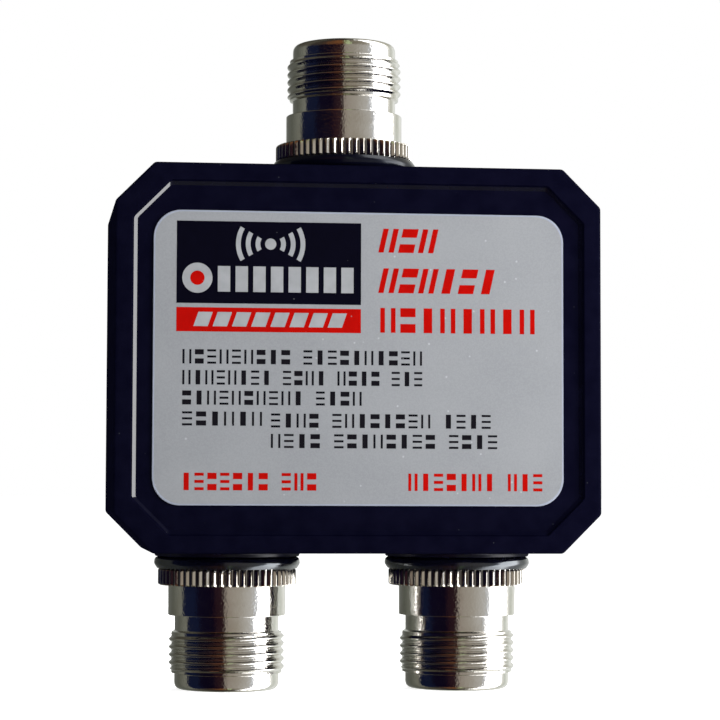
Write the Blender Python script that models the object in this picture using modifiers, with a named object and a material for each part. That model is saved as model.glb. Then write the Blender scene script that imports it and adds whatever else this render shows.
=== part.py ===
"""Radio duplexer: a die-cast eight-sided housing with one threaded jack on top and two below.

It stands on its two lower jacks, with the label facing -Y and +Z up. Lengths are metres.
The origin is on the ground under the middle of the housing.
"""

import math

import bmesh
import bpy
from mathutils import Matrix, Vector

# Housing
BODY_WIDTH = 0.0652
BODY_HEIGHT = 0.0516
BODY_DEPTH = 0.0300
BODY_CORNER = 0.0052
BODY_CORNER_ROUND = 0.0008
FRONT_EDGE_ROUND = 0.0004
SIDE_WALL = 0.0024
FRONT_WALL = 0.0024
RIM_WIDTH = 0.0023
PANEL_SLOPE = 0.0007
PANEL_RECESS = 0.0008
PANEL_CORNER = 0.0050
SEAT_GAP = 0.0002

# Label, with its distances from the foot of the panel's slope
LABEL_SIDE_ROOM = 0.0021
LABEL_END_ROOM = 0.0033
LABEL_CORNER = 0.00365
LABEL_THICKNESS = 0.0002
LABEL_GAP = 0.0001

# Back cover and its screws
COVER_THICKNESS = 0.0018
COVER_EDGE_ROUND = 0.0004
RIB_HEIGHT = 0.0009
RIB_WIDTH = 0.0012
RIB_PLAY = 0.0003
POST_DIAMETER = 0.0050
POST_INSET_X = 0.0046
POST_INSET_Z = 0.0046
COVER_SCREW_DIAMETER = 0.0025
COVER_SCREW_HEAD = 0.0046
COVER_SCREW_HEAD_HEIGHT = 0.0012
COVER_SCREW_LENGTH = 0.0090
CROSS_LENGTH = 0.0023
CROSS_WIDTH = 0.0006
CROSS_DEPTH = 0.0006
SCREW_CLEARANCE = 0.0002
SCREW_TIP_ROOM = 0.0006

# Jacks, measured outwards from the wall that carries them
JACK_AXIS_Y = 0.0010
JACK_ROW_SHIFT = -0.0003
LOWER_JACK_INSET = 0.0166
BOSS_DIAMETER = 0.0197
BOSS_BASE_DIAMETER = 0.0206
BOSS_HEIGHT = 0.0007
RING_DIAMETER = 0.0200
RING_THICKNESS = 0.00125
RING_EDGE_ROUND = 0.0004
FLANGE_DIAMETER = 0.01895
FLANGE_THICKNESS = 0.0023
FLANGE_TEETH = 58
TOOTH_DEPTH = 0.00045
BARREL_DIAMETER = 0.0161
BARREL_LENGTH = 0.0041
NECK_DIAMETER = 0.0143
NECK_LENGTH = 0.0020
THREAD_DIAMETER = 0.015875
THREAD_LENGTH = 0.0056
THREAD_LEAD_IN = 0.0006
NOSE_DIAMETER = 0.0143
NOSE_LENGTH = 0.0025
NOSE_ROUND = 0.0010
MOUTH_DIAMETER = 0.0087
MOUTH_DEPTH = 0.0091
MOUTH_CHAMFER = 0.0004
SHANK_DIAMETER = 0.0136
SHANK_BELOW_NUT = 0.0006
SHANK_CHAMFER = 0.0004
HOLE_CLEARANCE = 0.0002

# Washer and nut behind each jack
WASHER_DIAMETER = 0.0172
WASHER_THICKNESS = 0.0007
WASHER_TEETH = 12
WASHER_TOOTH_LENGTH = 0.0008
NUT_ACROSS_FLATS = 0.0164
NUT_THICKNESS = 0.0026
NUT_RIM_DIAMETER = 0.0160
NUT_CHAMFER_ANGLE = 25

# Insulator and centre contact of each jack
INSULATOR_DIAMETER = 0.0070
INSULATOR_FRONT_STEP = 0.0010
SOCKET_DIAMETER = 0.00304
SOCKET_RECESS = 0.0042
SOCKET_BORE = 0.0017
SOCKET_BORE_DEPTH = 0.0050
SOCKET_SLOT_WIDTH = 0.0003
SOCKET_SLOT_DEPTH = 0.0035
SOCKET_SLOT_TURN = 11.25
SOCKET_SEAT_DEPTH = 0.0030
STEM_DIAMETER = 0.0018
POT_DIAMETER = 0.0026
POT_LENGTH = 0.0036
POT_BORE = 0.0016
POT_BORE_DEPTH = 0.0026

# Circuit board on its standoffs, with its distances from the walls
BOARD_SIDE_ROOM = 0.0037
BOARD_END_ROOM = 0.0049
BOARD_THICKNESS = 0.0016
STANDOFF_HEIGHT = 0.0020
STANDOFF_DIAMETER = 0.0050
STANDOFF_INSET = 0.0040
BOARD_SCREW_DIAMETER = 0.0020
BOARD_SCREW_HEAD = 0.0038
BOARD_SCREW_HEAD_HEIGHT = 0.0013
BOARD_SCREW_CROWN = 0.0023
BOARD_SCREW_RIM_HEIGHT = 0.0005
BOARD_SCREW_LENGTH = 0.0048

# Screen between the two halves of the filter, with its distances from the board's ends
SCREEN_THICKNESS = 0.0006
SCREEN_REACH = 0.0150
SCREEN_TOP_ROOM = 0.0115
SCREEN_BOTTOM_ROOM = 0.0015
SCREEN_FOOT = 0.0050

# Coils, capacitors and wires, placed from the screen or from the board's nearer edge
LOW_COIL_RADIUS = 0.0032
LOW_COIL_WIRE = 0.0010
LOW_COIL_TURNS = 4
LOW_COIL_PITCH = 0.0017
LOW_COIL_FROM_SCREEN = 0.0100
LOW_COIL_Z = (0.0100, 0.0010, -0.0080)
HIGH_COIL_RADIUS = 0.0020
HIGH_COIL_WIRE = 0.0009
HIGH_COIL_TURNS = 3
HIGH_COIL_PITCH = 0.0016
HIGH_COIL_FROM_SCREEN = 0.0090
HIGH_COIL_FROM_EDGE = 0.0085
HIGH_COIL_Z = (0.0095, -0.0030)
COIL_LIFT = 0.0012
COIL_POINTS_PER_TURN = 8
CAPACITOR_DIAMETER = 0.0064
CAPACITOR_THICKNESS = 0.0026
CAPACITOR_LEAD = 0.0007
CAPACITOR_LEAD_SPREAD = 0.0036
CAPACITOR_LEAD_LENGTH = 0.0032
CAPACITOR_LIFT = 0.0016
CAPACITOR_FROM_SCREEN = 0.0085
LOW_CAPACITOR_FROM_EDGE = 0.0030
HIGH_CAPACITOR_FROM_EDGE = 0.0050
LOW_CAPACITOR_Z = (0.0055, -0.0035)
MIDDLE_CAPACITOR_Z = (0.0020, -0.0085)
HIGH_CAPACITOR_Z = 0.0050
LEAD_WIRE = 0.0010
LEAD_DROP = 0.0008
LEAD_BEND_REACH = 0.0044
LEAD_BEND_STEPS = 6

# Facets and welding
ROUND_SIDES = 28
MEDIUM_SIDES = 20
SMALL_SIDES = 12
LEAD_SIDES = 6
ROUND_SEGMENTS = 2
LABEL_CORNER_STEPS = 6
WIRE_ROUNDING = 1
SHARP_ANGLE = 35
TURN_WELD = 0.00001
WELD = 0.000001
CUTTER_OVERRUN = 0.0020
FRAME_DISPLAY_SIZE = 0.0050

# Places that follow from the sizes above
RING_BASE = BOSS_HEIGHT + SEAT_GAP
FLANGE_BASE = RING_BASE + RING_THICKNESS + SEAT_GAP
BARREL_BASE = FLANGE_BASE + FLANGE_THICKNESS
NECK_BASE = BARREL_BASE + BARREL_LENGTH
THREAD_BASE = NECK_BASE + NECK_LENGTH
NOSE_BASE = THREAD_BASE + THREAD_LENGTH
JACK_REACH = NOSE_BASE + NOSE_LENGTH
WASHER_TOP = -SIDE_WALL - SEAT_GAP
NUT_TOP = WASHER_TOP - WASHER_THICKNESS - SEAT_GAP
SHANK_END = NUT_TOP - NUT_THICKNESS - SHANK_BELOW_NUT
MOUTH_FLOOR = JACK_REACH - MOUTH_DEPTH
SOCKET_TIP = JACK_REACH - SOCKET_RECESS
INSULATOR_FRONT = MOUTH_FLOOR - INSULATOR_FRONT_STEP
SOCKET_SEAT = INSULATOR_FRONT - SOCKET_SEAT_DEPTH
POT_TOP = SHANK_END - SEAT_GAP
POT_END = POT_TOP - POT_LENGTH
BODY_MIDDLE_Z = JACK_REACH + BODY_HEIGHT / 2
FRONT_Y = -BODY_DEPTH / 2
BACK_Y = BODY_DEPTH / 2
PANEL_Y = FRONT_Y + PANEL_RECESS
FRONT_INSIDE_Y = PANEL_Y + FRONT_WALL
COVER_INSIDE_Y = BACK_Y - COVER_THICKNESS
RIM_BACK_Y = COVER_INSIDE_Y - SEAT_GAP
LABEL_WIDTH = BODY_WIDTH - 2 * (RIM_WIDTH + PANEL_SLOPE + LABEL_SIDE_ROOM)
LABEL_HEIGHT = BODY_HEIGHT - 2 * (RIM_WIDTH + PANEL_SLOPE + LABEL_END_ROOM)
BOARD_WIDTH = BODY_WIDTH - 2 * (SIDE_WALL + BOARD_SIDE_ROOM)
BOARD_HEIGHT = BODY_HEIGHT - 2 * (SIDE_WALL + BOARD_END_ROOM)
BOARD_FRONT_Y = FRONT_INSIDE_Y + STANDOFF_HEIGHT + SEAT_GAP
BOARD_BACK_Y = BOARD_FRONT_Y + BOARD_THICKNESS
PART_FOOT_Y = BOARD_BACK_Y + SEAT_GAP
POST_X = BODY_WIDTH / 2 - POST_INSET_X
POST_Z = BODY_HEIGHT / 2 - POST_INSET_Z
STANDOFF_X = BOARD_WIDTH / 2 - STANDOFF_INSET
STANDOFF_Z = BOARD_HEIGHT / 2 - STANDOFF_INSET
SCREEN_HEIGHT = BOARD_HEIGHT - SCREEN_TOP_ROOM - SCREEN_BOTTOM_ROOM
SCREEN_MIDDLE = (SCREEN_BOTTOM_ROOM - SCREEN_TOP_ROOM) / 2
BOSS_FOOT = SIDE_WALL / 2
CORNERS = ((-1, 1), (1, 1), (1, -1), (-1, -1))
CORNER_NAMES = ("upper_left", "upper_right", "lower_right", "lower_left")

# Turns +Z to +Y, and +Y to -Z
TO_Y = Matrix.Rotation(-math.pi / 2, 4, "X")


def clear_scene():
    for thing in list(bpy.data.objects):
        bpy.data.objects.remove(thing)


def new_collection(name):
    collection = bpy.data.collections.new(name)
    bpy.context.scene.collection.children.link(collection)
    return collection


clear_scene()
PARTS = new_collection("rf_duplexer")
CUTTERS = new_collection("cutters")
CUTTERS.hide_render = True


def make_material(name, colour, roughness, metallic):
    material = bpy.data.materials.new(name)
    material.use_nodes = True
    shader = material.node_tree.nodes["Principled BSDF"]
    shader.inputs["Base Color"].default_value = (*colour, 1)
    shader.inputs["Roughness"].default_value = roughness
    shader.inputs["Metallic"].default_value = metallic
    return material


BLACK_CASTING = make_material("black_casting", (0.010, 0.011, 0.020), 0.45, 0.0)
BLACK_RUBBER = make_material("black_rubber", (0.010, 0.010, 0.016), 0.35, 0.0)
NICKEL = make_material("nickel_plate", (0.78, 0.76, 0.72), 0.12, 1.0)
GOLD = make_material("gold_plate", (0.90, 0.66, 0.30), 0.20, 1.0)
SPRING_STEEL = make_material("spring_steel", (0.45, 0.45, 0.46), 0.35, 1.0)
ZINC_STEEL = make_material("zinc_steel", (0.62, 0.62, 0.60), 0.30, 1.0)
BLACK_STEEL = make_material("black_steel", (0.030, 0.030, 0.035), 0.35, 1.0)
WHITE_PLASTIC = make_material("white_plastic", (0.88, 0.87, 0.84), 0.40, 0.0)
LABEL_FILM = make_material("label_film", (0.40, 0.41, 0.43), 0.35, 0.2)
BOARD_LAMINATE = make_material("board_laminate", (0.05, 0.20, 0.09), 0.45, 0.0)
COPPER_WIRE = make_material("copper_wire", (0.72, 0.34, 0.18), 0.25, 1.0)
TINNED_WIRE = make_material("tinned_wire", (0.70, 0.70, 0.68), 0.30, 1.0)
TINPLATE = make_material("tinplate", (0.66, 0.66, 0.64), 0.30, 1.0)
CERAMIC = make_material("ceramic_coat", (0.55, 0.26, 0.08), 0.45, 0.0)


def add_object(name, data, material=None, parent=None):
    """A visible piece with its own material, or a hidden cutter where none is given."""
    thing = bpy.data.objects.new(name, data)
    if material is None:
        CUTTERS.objects.link(thing)
        thing.hide_render = True
        thing.display_type = "WIRE"
    else:
        PARTS.objects.link(thing)
        data.materials.clear()
        data.materials.append(material)
    thing.parent = parent
    return thing


def mesh_from(shape, name):
    mesh = bpy.data.meshes.new(name)
    bmesh.ops.recalc_face_normals(shape, faces=shape.faces)
    shape.to_mesh(mesh)
    shape.free()
    return mesh


def add_cylinder(shape, diameter, start, end, place=(0, 0), sides=ROUND_SIDES, end_diameter=None):
    """Adds a cylinder or cone along local Z to the shape, between two heights."""
    if end_diameter is None:
        end_diameter = diameter
    middle = Vector((place[0], place[1], (start + end) / 2))
    bmesh.ops.create_cone(
        shape,
        cap_ends=True,
        segments=sides,
        radius1=diameter / 2,
        radius2=end_diameter / 2,
        depth=end - start,
        matrix=Matrix.Translation(middle),
    )


def add_part(shape, part):
    """Adds a finished part to a shape that holds several."""
    piece = mesh_from(part, "part")
    shape.from_mesh(piece)
    bpy.data.meshes.remove(piece)


def drop_inner_faces(part, heights):
    """Opens a stack of cylinders between its steps, which are at the heights given."""
    bmesh.ops.remove_doubles(part, verts=part.verts, dist=WELD)
    inner = [
        face
        for face in part.faces
        if any(all(abs(vert.co.z - height) < WELD for vert in face.verts) for height in heights)
    ]
    bmesh.ops.delete(part, geom=inner, context="FACES_ONLY")


def cut_or_join(thing, other, operation):
    modifier = thing.modifiers.new(other.name, "BOOLEAN")
    modifier.operation = operation
    modifier.object = other
    modifier.solver = "EXACT"
    return modifier


def cut(thing, other):
    return cut_or_join(thing, other, "DIFFERENCE")


def join(thing, other):
    return cut_or_join(thing, other, "UNION")


def smooth_rounds(thing):
    thing.data.shade_smooth()
    thing.data.set_sharp_from_angle(angle=math.radians(SHARP_ANGLE))


def turned(name, profile, material, parent=None, sides=ROUND_SIDES, closed=True):
    """(radius, height) points turned round Z: a closed ring of them, or a row from axis to axis."""
    mesh = bpy.data.meshes.new(name)
    points = [(radius, 0, height) for radius, height in profile]
    edges = [(i, i + 1) for i in range(len(points) - 1)]
    if closed:
        edges.append((len(points) - 1, 0))
    mesh.from_pydata(points, edges, [])
    thing = add_object(name, mesh, material, parent)
    screw = thing.modifiers.new("turn", "SCREW")
    screw.steps = sides
    screw.render_steps = sides
    screw.use_merge_vertices = True
    screw.merge_threshold = TURN_WELD
    screw.use_smooth_shade = True
    return thing


def flat_outline(name, outlines, thickness, material=None, parent=None):
    """Closed outlines in local XY, filled and given a thickness centred on local Z."""
    curve = bpy.data.curves.new(name, "CURVE")
    curve.dimensions = "2D"
    curve.fill_mode = "BOTH"
    curve.extrude = thickness / 2
    for outline in outlines:
        spline = curve.splines.new("POLY")
        spline.points.add(len(outline) - 1)
        for point, (x, y) in zip(spline.points, outline):
            point.co = (x, y, 0, 1)
        spline.use_cyclic_u = True
    return add_object(name, curve, material, parent)


def as_mesh(thing, name):
    """The mesh of a curve object, with its caps welded, and the curve removed."""
    graph = bpy.context.evaluated_depsgraph_get()
    mesh = bpy.data.meshes.new_from_object(thing.evaluated_get(graph))
    shape = bmesh.new()
    shape.from_mesh(mesh)
    bmesh.ops.remove_doubles(shape, verts=shape.verts, dist=WELD)
    bmesh.ops.recalc_face_normals(shape, faces=shape.faces)
    shape.to_mesh(mesh)
    shape.free()
    mesh.name = name
    bpy.data.objects.remove(thing)
    return mesh


def wire(name, points, diameter, material, parent=None):
    curve = bpy.data.curves.new(name, "CURVE")
    curve.dimensions = "3D"
    curve.bevel_depth = diameter / 2
    curve.bevel_resolution = WIRE_ROUNDING
    curve.use_fill_caps = True
    spline = curve.splines.new("POLY")
    spline.points.add(len(points) - 1)
    for point, place in zip(spline.points, points):
        point.co = (*place, 1)
    return add_object(name, curve, material, parent)


def eight_sided(half_width, half_height, corner):
    """Corner points of a rectangle with cut corners, in order round it."""
    x, z, c = half_width, half_height, corner
    return [
        (-x, z - c),
        (-x + c, z),
        (x - c, z),
        (x, z - c),
        (x, -z + c),
        (x - c, -z),
        (-x + c, -z),
        (-x, -z + c),
    ]


def add_prism(shape, front, back, front_y, back_y):
    """Adds a solid between two like outlines in XZ, and returns its rings of points."""
    near = [shape.verts.new((x, front_y, z)) for x, z in front]
    far = [shape.verts.new((x, back_y, z)) for x, z in back]
    shape.faces.new(near)
    shape.faces.new(reversed(far))
    count = len(near)
    for i in range(count):
        j = (i + 1) % count
        shape.faces.new((near[j], near[i], far[i], far[j]))
    return near, far


def round_edges(shape, edges, width):
    bmesh.ops.bevel(
        shape, geom=edges, offset=width, segments=ROUND_SEGMENTS, profile=0.5, affect="EDGES"
    )


def rounded_prism(name, half_width, half_height, corner, front_y, back_y, corner_round, edges):
    """An eight-sided block with rounded corners and a rounded outline at the sides named."""
    shape = bmesh.new()
    outline = eight_sided(half_width, half_height, corner)
    near, far = add_prism(shape, outline, outline, front_y, back_y)
    corners = [edge for edge in shape.edges if (edge.verts[0] in near) != (edge.verts[1] in near)]
    round_edges(shape, corners, corner_round)
    for side_y, width in edges:
        rim = [e for e in shape.edges if all(abs(v.co.y - side_y) < WELD for v in e.verts)]
        round_edges(shape, rim, width)
    return mesh_from(shape, name)


def jack_places():
    """Name, position across, and whether it is on top, for each of the three jacks."""
    half = BODY_WIDTH / 2 - LOWER_JACK_INSET
    return (
        ("common", JACK_ROW_SHIFT, True),
        ("low_band", JACK_ROW_SHIFT - half, False),
        ("high_band", JACK_ROW_SHIFT + half, False),
    )


def add_empty(name, location, rotation=(0, 0, 0), parent=None):
    empty = bpy.data.objects.new(name, None)
    empty.empty_display_size = FRAME_DISPLAY_SIZE
    PARTS.objects.link(empty)
    empty.location = location
    empty.rotation_euler = rotation
    empty.parent = parent
    return empty


def body_frame():
    """The middle of the housing, which its pieces are placed from."""
    return add_empty("body_frame", (0, 0, BODY_MIDDLE_Z))


def port_frame(name, across, on_top, body):
    """A frame on the outer wall, with its Z pointing out along the jack."""
    height = BODY_HEIGHT / 2 if on_top else -BODY_HEIGHT / 2
    turn = 0 if on_top else math.pi
    return add_empty(name + "_port", (across, JACK_AXIS_Y, height), (0, turn, 0), body)


def put_on_wall(part, across, height_sign):
    """Moves a part made along +Z from the origin to a jack's place on the top or bottom wall."""
    turn = Matrix.Rotation(0 if height_sign > 0 else math.pi, 4, "Y")
    place = Matrix.Translation((across, JACK_AXIS_Y, height_sign * BODY_HEIGHT / 2))
    bmesh.ops.transform(part, matrix=place @ turn, verts=part.verts)


def make_bosses(ports):
    """The three low round bosses that the sealing rings sit on, as one joining piece."""
    shape = bmesh.new()
    for across, height_sign in ports:
        part = bmesh.new()
        add_cylinder(part, BOSS_BASE_DIAMETER, -BOSS_FOOT, 0)
        add_cylinder(part, BOSS_BASE_DIAMETER, 0, BOSS_HEIGHT, end_diameter=BOSS_DIAMETER)
        drop_inner_faces(part, (0,))
        put_on_wall(part, across, height_sign)
        add_part(shape, part)
    return mesh_from(shape, "bosses")


def make_posts():
    """Screw posts in the corners and standoffs under the board, as one joining piece."""
    shape = bmesh.new()
    overlap = FRONT_WALL / 2
    for x_sign, z_sign in CORNERS:
        start = FRONT_INSIDE_Y - overlap
        add_cylinder(
            shape, POST_DIAMETER, start, RIM_BACK_Y, (x_sign * POST_X, -z_sign * POST_Z), SMALL_SIDES
        )
        add_cylinder(
            shape,
            STANDOFF_DIAMETER,
            start,
            FRONT_INSIDE_Y + STANDOFF_HEIGHT,
            (x_sign * STANDOFF_X, -z_sign * STANDOFF_Z),
            SMALL_SIDES,
        )
    bmesh.ops.transform(shape, matrix=TO_Y, verts=shape.verts)
    return mesh_from(shape, "posts")


def make_screw_holes():
    """Blind holes in the posts and standoffs, as one cutter."""
    shape = bmesh.new()
    cover_tip = BACK_Y - COVER_SCREW_LENGTH - SCREW_TIP_ROOM
    board_tip = PART_FOOT_Y - BOARD_SCREW_LENGTH - SCREW_TIP_ROOM
    for x_sign, z_sign in CORNERS:
        add_cylinder(
            shape,
            COVER_SCREW_DIAMETER + 2 * SCREW_CLEARANCE,
            cover_tip,
            BACK_Y,
            (x_sign * POST_X, -z_sign * POST_Z),
            SMALL_SIDES,
        )
        add_cylinder(
            shape,
            BOARD_SCREW_DIAMETER + 2 * SCREW_CLEARANCE,
            board_tip,
            BOARD_FRONT_Y,
            (x_sign * STANDOFF_X, -z_sign * STANDOFF_Z),
            SMALL_SIDES,
        )
    bmesh.ops.transform(shape, matrix=TO_Y, verts=shape.verts)
    return mesh_from(shape, "screw_holes")


def make_jack_holes(ports):
    """Round holes through bosses and walls, one for each jack's shank, as one cutter."""
    shape = bmesh.new()
    hole = SHANK_DIAMETER + 2 * HOLE_CLEARANCE
    for across, height_sign in ports:
        part = bmesh.new()
        add_cylinder(part, hole, -SIDE_WALL - CUTTER_OVERRUN, BOSS_HEIGHT + CUTTER_OVERRUN)
        put_on_wall(part, across, height_sign)
        add_part(shape, part)
    return mesh_from(shape, "jack_holes")


def make_housing(body, ports):
    """The casting: front wall with its sunken panel, four side walls, bosses, posts and standoffs."""
    half_width, half_height = BODY_WIDTH / 2, BODY_HEIGHT / 2
    mesh = rounded_prism(
        "housing",
        half_width,
        half_height,
        BODY_CORNER,
        FRONT_Y,
        RIM_BACK_Y,
        BODY_CORNER_ROUND,
        [(FRONT_Y, FRONT_EDGE_ROUND)],
    )
    housing = add_object("housing", mesh, BLACK_CASTING, body)
    join(housing, add_object("bosses", make_bosses(ports), parent=body))

    shape = bmesh.new()
    inner_corner = BODY_CORNER - SIDE_WALL * (2 - math.sqrt(2))
    inside = eight_sided(half_width - SIDE_WALL, half_height - SIDE_WALL, inner_corner)
    add_prism(shape, inside, inside, FRONT_INSIDE_Y, BACK_Y + CUTTER_OVERRUN)
    cut(housing, add_object("cavity", mesh_from(shape, "cavity"), parent=body))
    join(housing, add_object("posts", make_posts(), parent=body))
    cut(housing, add_object("screw_holes", make_screw_holes(), parent=body))
    cut(housing, add_object("jack_holes", make_jack_holes(ports), parent=body))

    shape = bmesh.new()
    slope_run = PANEL_SLOPE / PANEL_RECESS
    far_in = RIM_WIDTH + PANEL_SLOPE
    near_in = RIM_WIDTH - slope_run * CUTTER_OVERRUN
    floor = eight_sided(half_width - far_in, half_height - far_in, PANEL_CORNER)
    mouth = eight_sided(half_width - near_in, half_height - near_in, PANEL_CORNER)
    add_prism(shape, mouth, floor, FRONT_Y - CUTTER_OVERRUN, PANEL_Y)
    cut(housing, add_object("panel_recess", mesh_from(shape, "panel_recess"), parent=body))
    smooth_rounds(housing)
    return housing


def make_countersinks():
    """Countersunk through holes for the cover screws, as one cutter."""
    shape = bmesh.new()
    clearance = 2 * SCREW_CLEARANCE
    shaft = COVER_SCREW_DIAMETER + clearance
    head = COVER_SCREW_HEAD + clearance
    front = RIM_BACK_Y - CUTTER_OVERRUN
    sink = BACK_Y - COVER_SCREW_HEAD_HEIGHT
    for x_sign, z_sign in CORNERS:
        part = bmesh.new()
        place = (x_sign * POST_X, -z_sign * POST_Z)
        add_cylinder(part, shaft, front, sink, place, SMALL_SIDES)
        add_cylinder(part, shaft, sink, BACK_Y, place, SMALL_SIDES, end_diameter=head)
        add_cylinder(part, head, BACK_Y, BACK_Y + CUTTER_OVERRUN, place, SMALL_SIDES)
        drop_inner_faces(part, (sink, BACK_Y))
        add_part(shape, part)
    bmesh.ops.transform(shape, matrix=TO_Y, verts=shape.verts)
    return mesh_from(shape, "countersinks")


def make_back_cover(body):
    """The flat back plate, with two low ribs that fit just inside the housing's side walls."""
    half_width, half_height = BODY_WIDTH / 2, BODY_HEIGHT / 2
    mesh = rounded_prism(
        "back_cover",
        half_width,
        half_height,
        BODY_CORNER,
        COVER_INSIDE_Y,
        BACK_Y,
        BODY_CORNER_ROUND,
        [(BACK_Y, COVER_EDGE_ROUND)],
    )
    cover = add_object("back_cover", mesh, BLACK_CASTING, body)

    shape = bmesh.new()
    rib_front = RIM_BACK_Y - RIB_HEIGHT
    rib_back = COVER_INSIDE_Y + COVER_THICKNESS / 2
    rib_length = 2 * (POST_Z - POST_DIAMETER / 2 - RIB_PLAY)
    rib_x = half_width - SIDE_WALL - RIB_PLAY - RIB_WIDTH / 2
    size = Matrix.Diagonal((RIB_WIDTH, rib_back - rib_front, rib_length, 1))
    for side in (-1, 1):
        middle = Matrix.Translation((side * rib_x, (rib_front + rib_back) / 2, 0))
        bmesh.ops.create_cube(shape, size=1, matrix=middle @ size)
    join(cover, add_object("cover_ribs", mesh_from(shape, "cover_ribs"), parent=body))
    cut(cover, add_object("countersinks", make_countersinks(), parent=body))
    smooth_rounds(cover)
    return cover


def cut_cross(thing, name, length, width, depth, top, parent, turn=0):
    """Cuts two crossed slots down along local Z, from the height given."""
    height = depth + CUTTER_OVERRUN
    middle = Matrix.Translation((0, 0, top - depth + height / 2))
    for side, size in (("_along", (length, width, height)), ("_across", (width, length, height))):
        shape = bmesh.new()
        bmesh.ops.create_cube(shape, size=1, matrix=middle @ Matrix.Diagonal((*size, 1)))
        slot = add_object(name + side, mesh_from(shape, name + side), parent=parent)
        slot.rotation_euler = (0, 0, turn)
        cut(thing, slot)


def make_cover_screws(body):
    """Four countersunk screws that hold the back cover to the posts."""
    head, shaft = COVER_SCREW_HEAD / 2, COVER_SCREW_DIAMETER / 2
    sunk = SEAT_GAP
    profile = [
        (0, -sunk),
        (head - sunk, -sunk),
        (shaft, -COVER_SCREW_HEAD_HEIGHT),
        (shaft, -COVER_SCREW_LENGTH + shaft),
        (0, -COVER_SCREW_LENGTH),
    ]
    for corner, (x_sign, z_sign) in zip(CORNER_NAMES, CORNERS):
        name = "cover_screw_" + corner
        screw = turned(name, profile, BLACK_STEEL, body, SMALL_SIDES, closed=False)
        screw.location = (x_sign * POST_X, BACK_Y, z_sign * POST_Z)
        screw.rotation_euler = (-math.pi / 2, 0, 0)
        cut_cross(screw, name + "_slot", CROSS_LENGTH, CROSS_WIDTH, CROSS_DEPTH, -sunk, screw)


def rounded_rectangle(width, height, radius):
    """Corner points of a rectangle with round corners, in order round it."""
    points = []
    for x_sign, y_sign, first in ((1, 1, 0), (-1, 1, 90), (-1, -1, 180), (1, -1, 270)):
        centre_x = x_sign * (width / 2 - radius)
        centre_y = y_sign * (height / 2 - radius)
        for i in range(LABEL_CORNER_STEPS + 1):
            angle = math.radians(first + 90 * i / LABEL_CORNER_STEPS)
            points.append(
                (centre_x + radius * math.cos(angle), centre_y + radius * math.sin(angle))
            )
    return points


def make_label(body):
    """The printed film stuck on the sunken panel."""
    outline = rounded_rectangle(LABEL_WIDTH, LABEL_HEIGHT, LABEL_CORNER)
    label = flat_outline("front_label", [outline], LABEL_THICKNESS, LABEL_FILM, body)
    label.location = (0, PANEL_Y - LABEL_GAP - LABEL_THICKNESS / 2, 0)
    label.rotation_euler = (math.pi / 2, 0, 0)
    return label


def shell_profile():
    """Outer side from the mouth down to the shank end, then the bore back up to the mouth."""
    nose, thread = NOSE_DIAMETER / 2, THREAD_DIAMETER / 2
    neck, barrel = NECK_DIAMETER / 2, BARREL_DIAMETER / 2
    root = FLANGE_DIAMETER / 2 - TOOTH_DEPTH - SEAT_GAP
    shank = SHANK_DIAMETER / 2
    bore, mouth = INSULATOR_DIAMETER / 2 + SEAT_GAP, MOUTH_DIAMETER / 2
    halfway = NOSE_ROUND * (1 - math.cos(math.pi / 4))
    return [
        (mouth + MOUTH_CHAMFER, JACK_REACH),
        (nose - NOSE_ROUND, JACK_REACH),
        (nose - halfway, JACK_REACH - halfway),
        (nose, JACK_REACH - NOSE_ROUND),
        (nose, NOSE_BASE),
        (thread, NOSE_BASE - THREAD_LEAD_IN),
        (thread, THREAD_BASE + THREAD_LEAD_IN),
        (neck, THREAD_BASE),
        (neck, NECK_BASE),
        (barrel, NECK_BASE),
        (barrel, BARREL_BASE),
        (root, BARREL_BASE),
        (root, FLANGE_BASE),
        (shank, FLANGE_BASE),
        (shank, SHANK_END + SHANK_CHAMFER),
        (shank - SHANK_CHAMFER, SHANK_END),
        (bore, SHANK_END),
        (bore, MOUTH_FLOOR),
        (mouth, MOUTH_FLOOR),
        (mouth, JACK_REACH - MOUTH_CHAMFER),
    ]


def round_outline(radii, repeats):
    """Points round a circle that step through the given radii, over and over."""
    count = len(radii) * repeats
    points = []
    for i in range(count):
        angle = 2 * math.pi * i / count
        radius = radii[i % len(radii)]
        points.append((radius * math.cos(angle), radius * math.sin(angle)))
    return points


def make_shell(name, port):
    """The plated body of a jack, turned in one piece, with its knurled flange."""
    shell = turned(name + "_jack_shell", shell_profile(), NICKEL, port)
    tip = FLANGE_DIAMETER / 2
    outline = round_outline((tip, tip - TOOTH_DEPTH), FLANGE_TEETH)
    hole = round_outline((BARREL_DIAMETER / 2 - TOOTH_DEPTH,), ROUND_SIDES)
    ring = flat_outline(name + "_knurl_outline", [outline, hole], FLANGE_THICKNESS)
    knurl = add_object(name + "_knurl", as_mesh(ring, name + "_knurl"), parent=port)
    knurl.location = (0, 0, FLANGE_BASE + FLANGE_THICKNESS / 2)
    join(shell, knurl)
    return shell


def make_sealing_ring(name, port):
    """The rubber ring squeezed between the boss and the flange, bulging at its rim."""
    outer, inner = RING_DIAMETER / 2, SHANK_DIAMETER / 2 + SEAT_GAP
    top, bottom = RING_BASE + RING_THICKNESS, RING_BASE
    middle = (top + bottom) / 2
    profile = [
        (inner, top),
        (outer - RING_EDGE_ROUND, top),
        (outer, middle),
        (outer - RING_EDGE_ROUND, bottom),
        (inner, bottom),
    ]
    return turned(name + "_sealing_ring", profile, BLACK_RUBBER, port)


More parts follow.
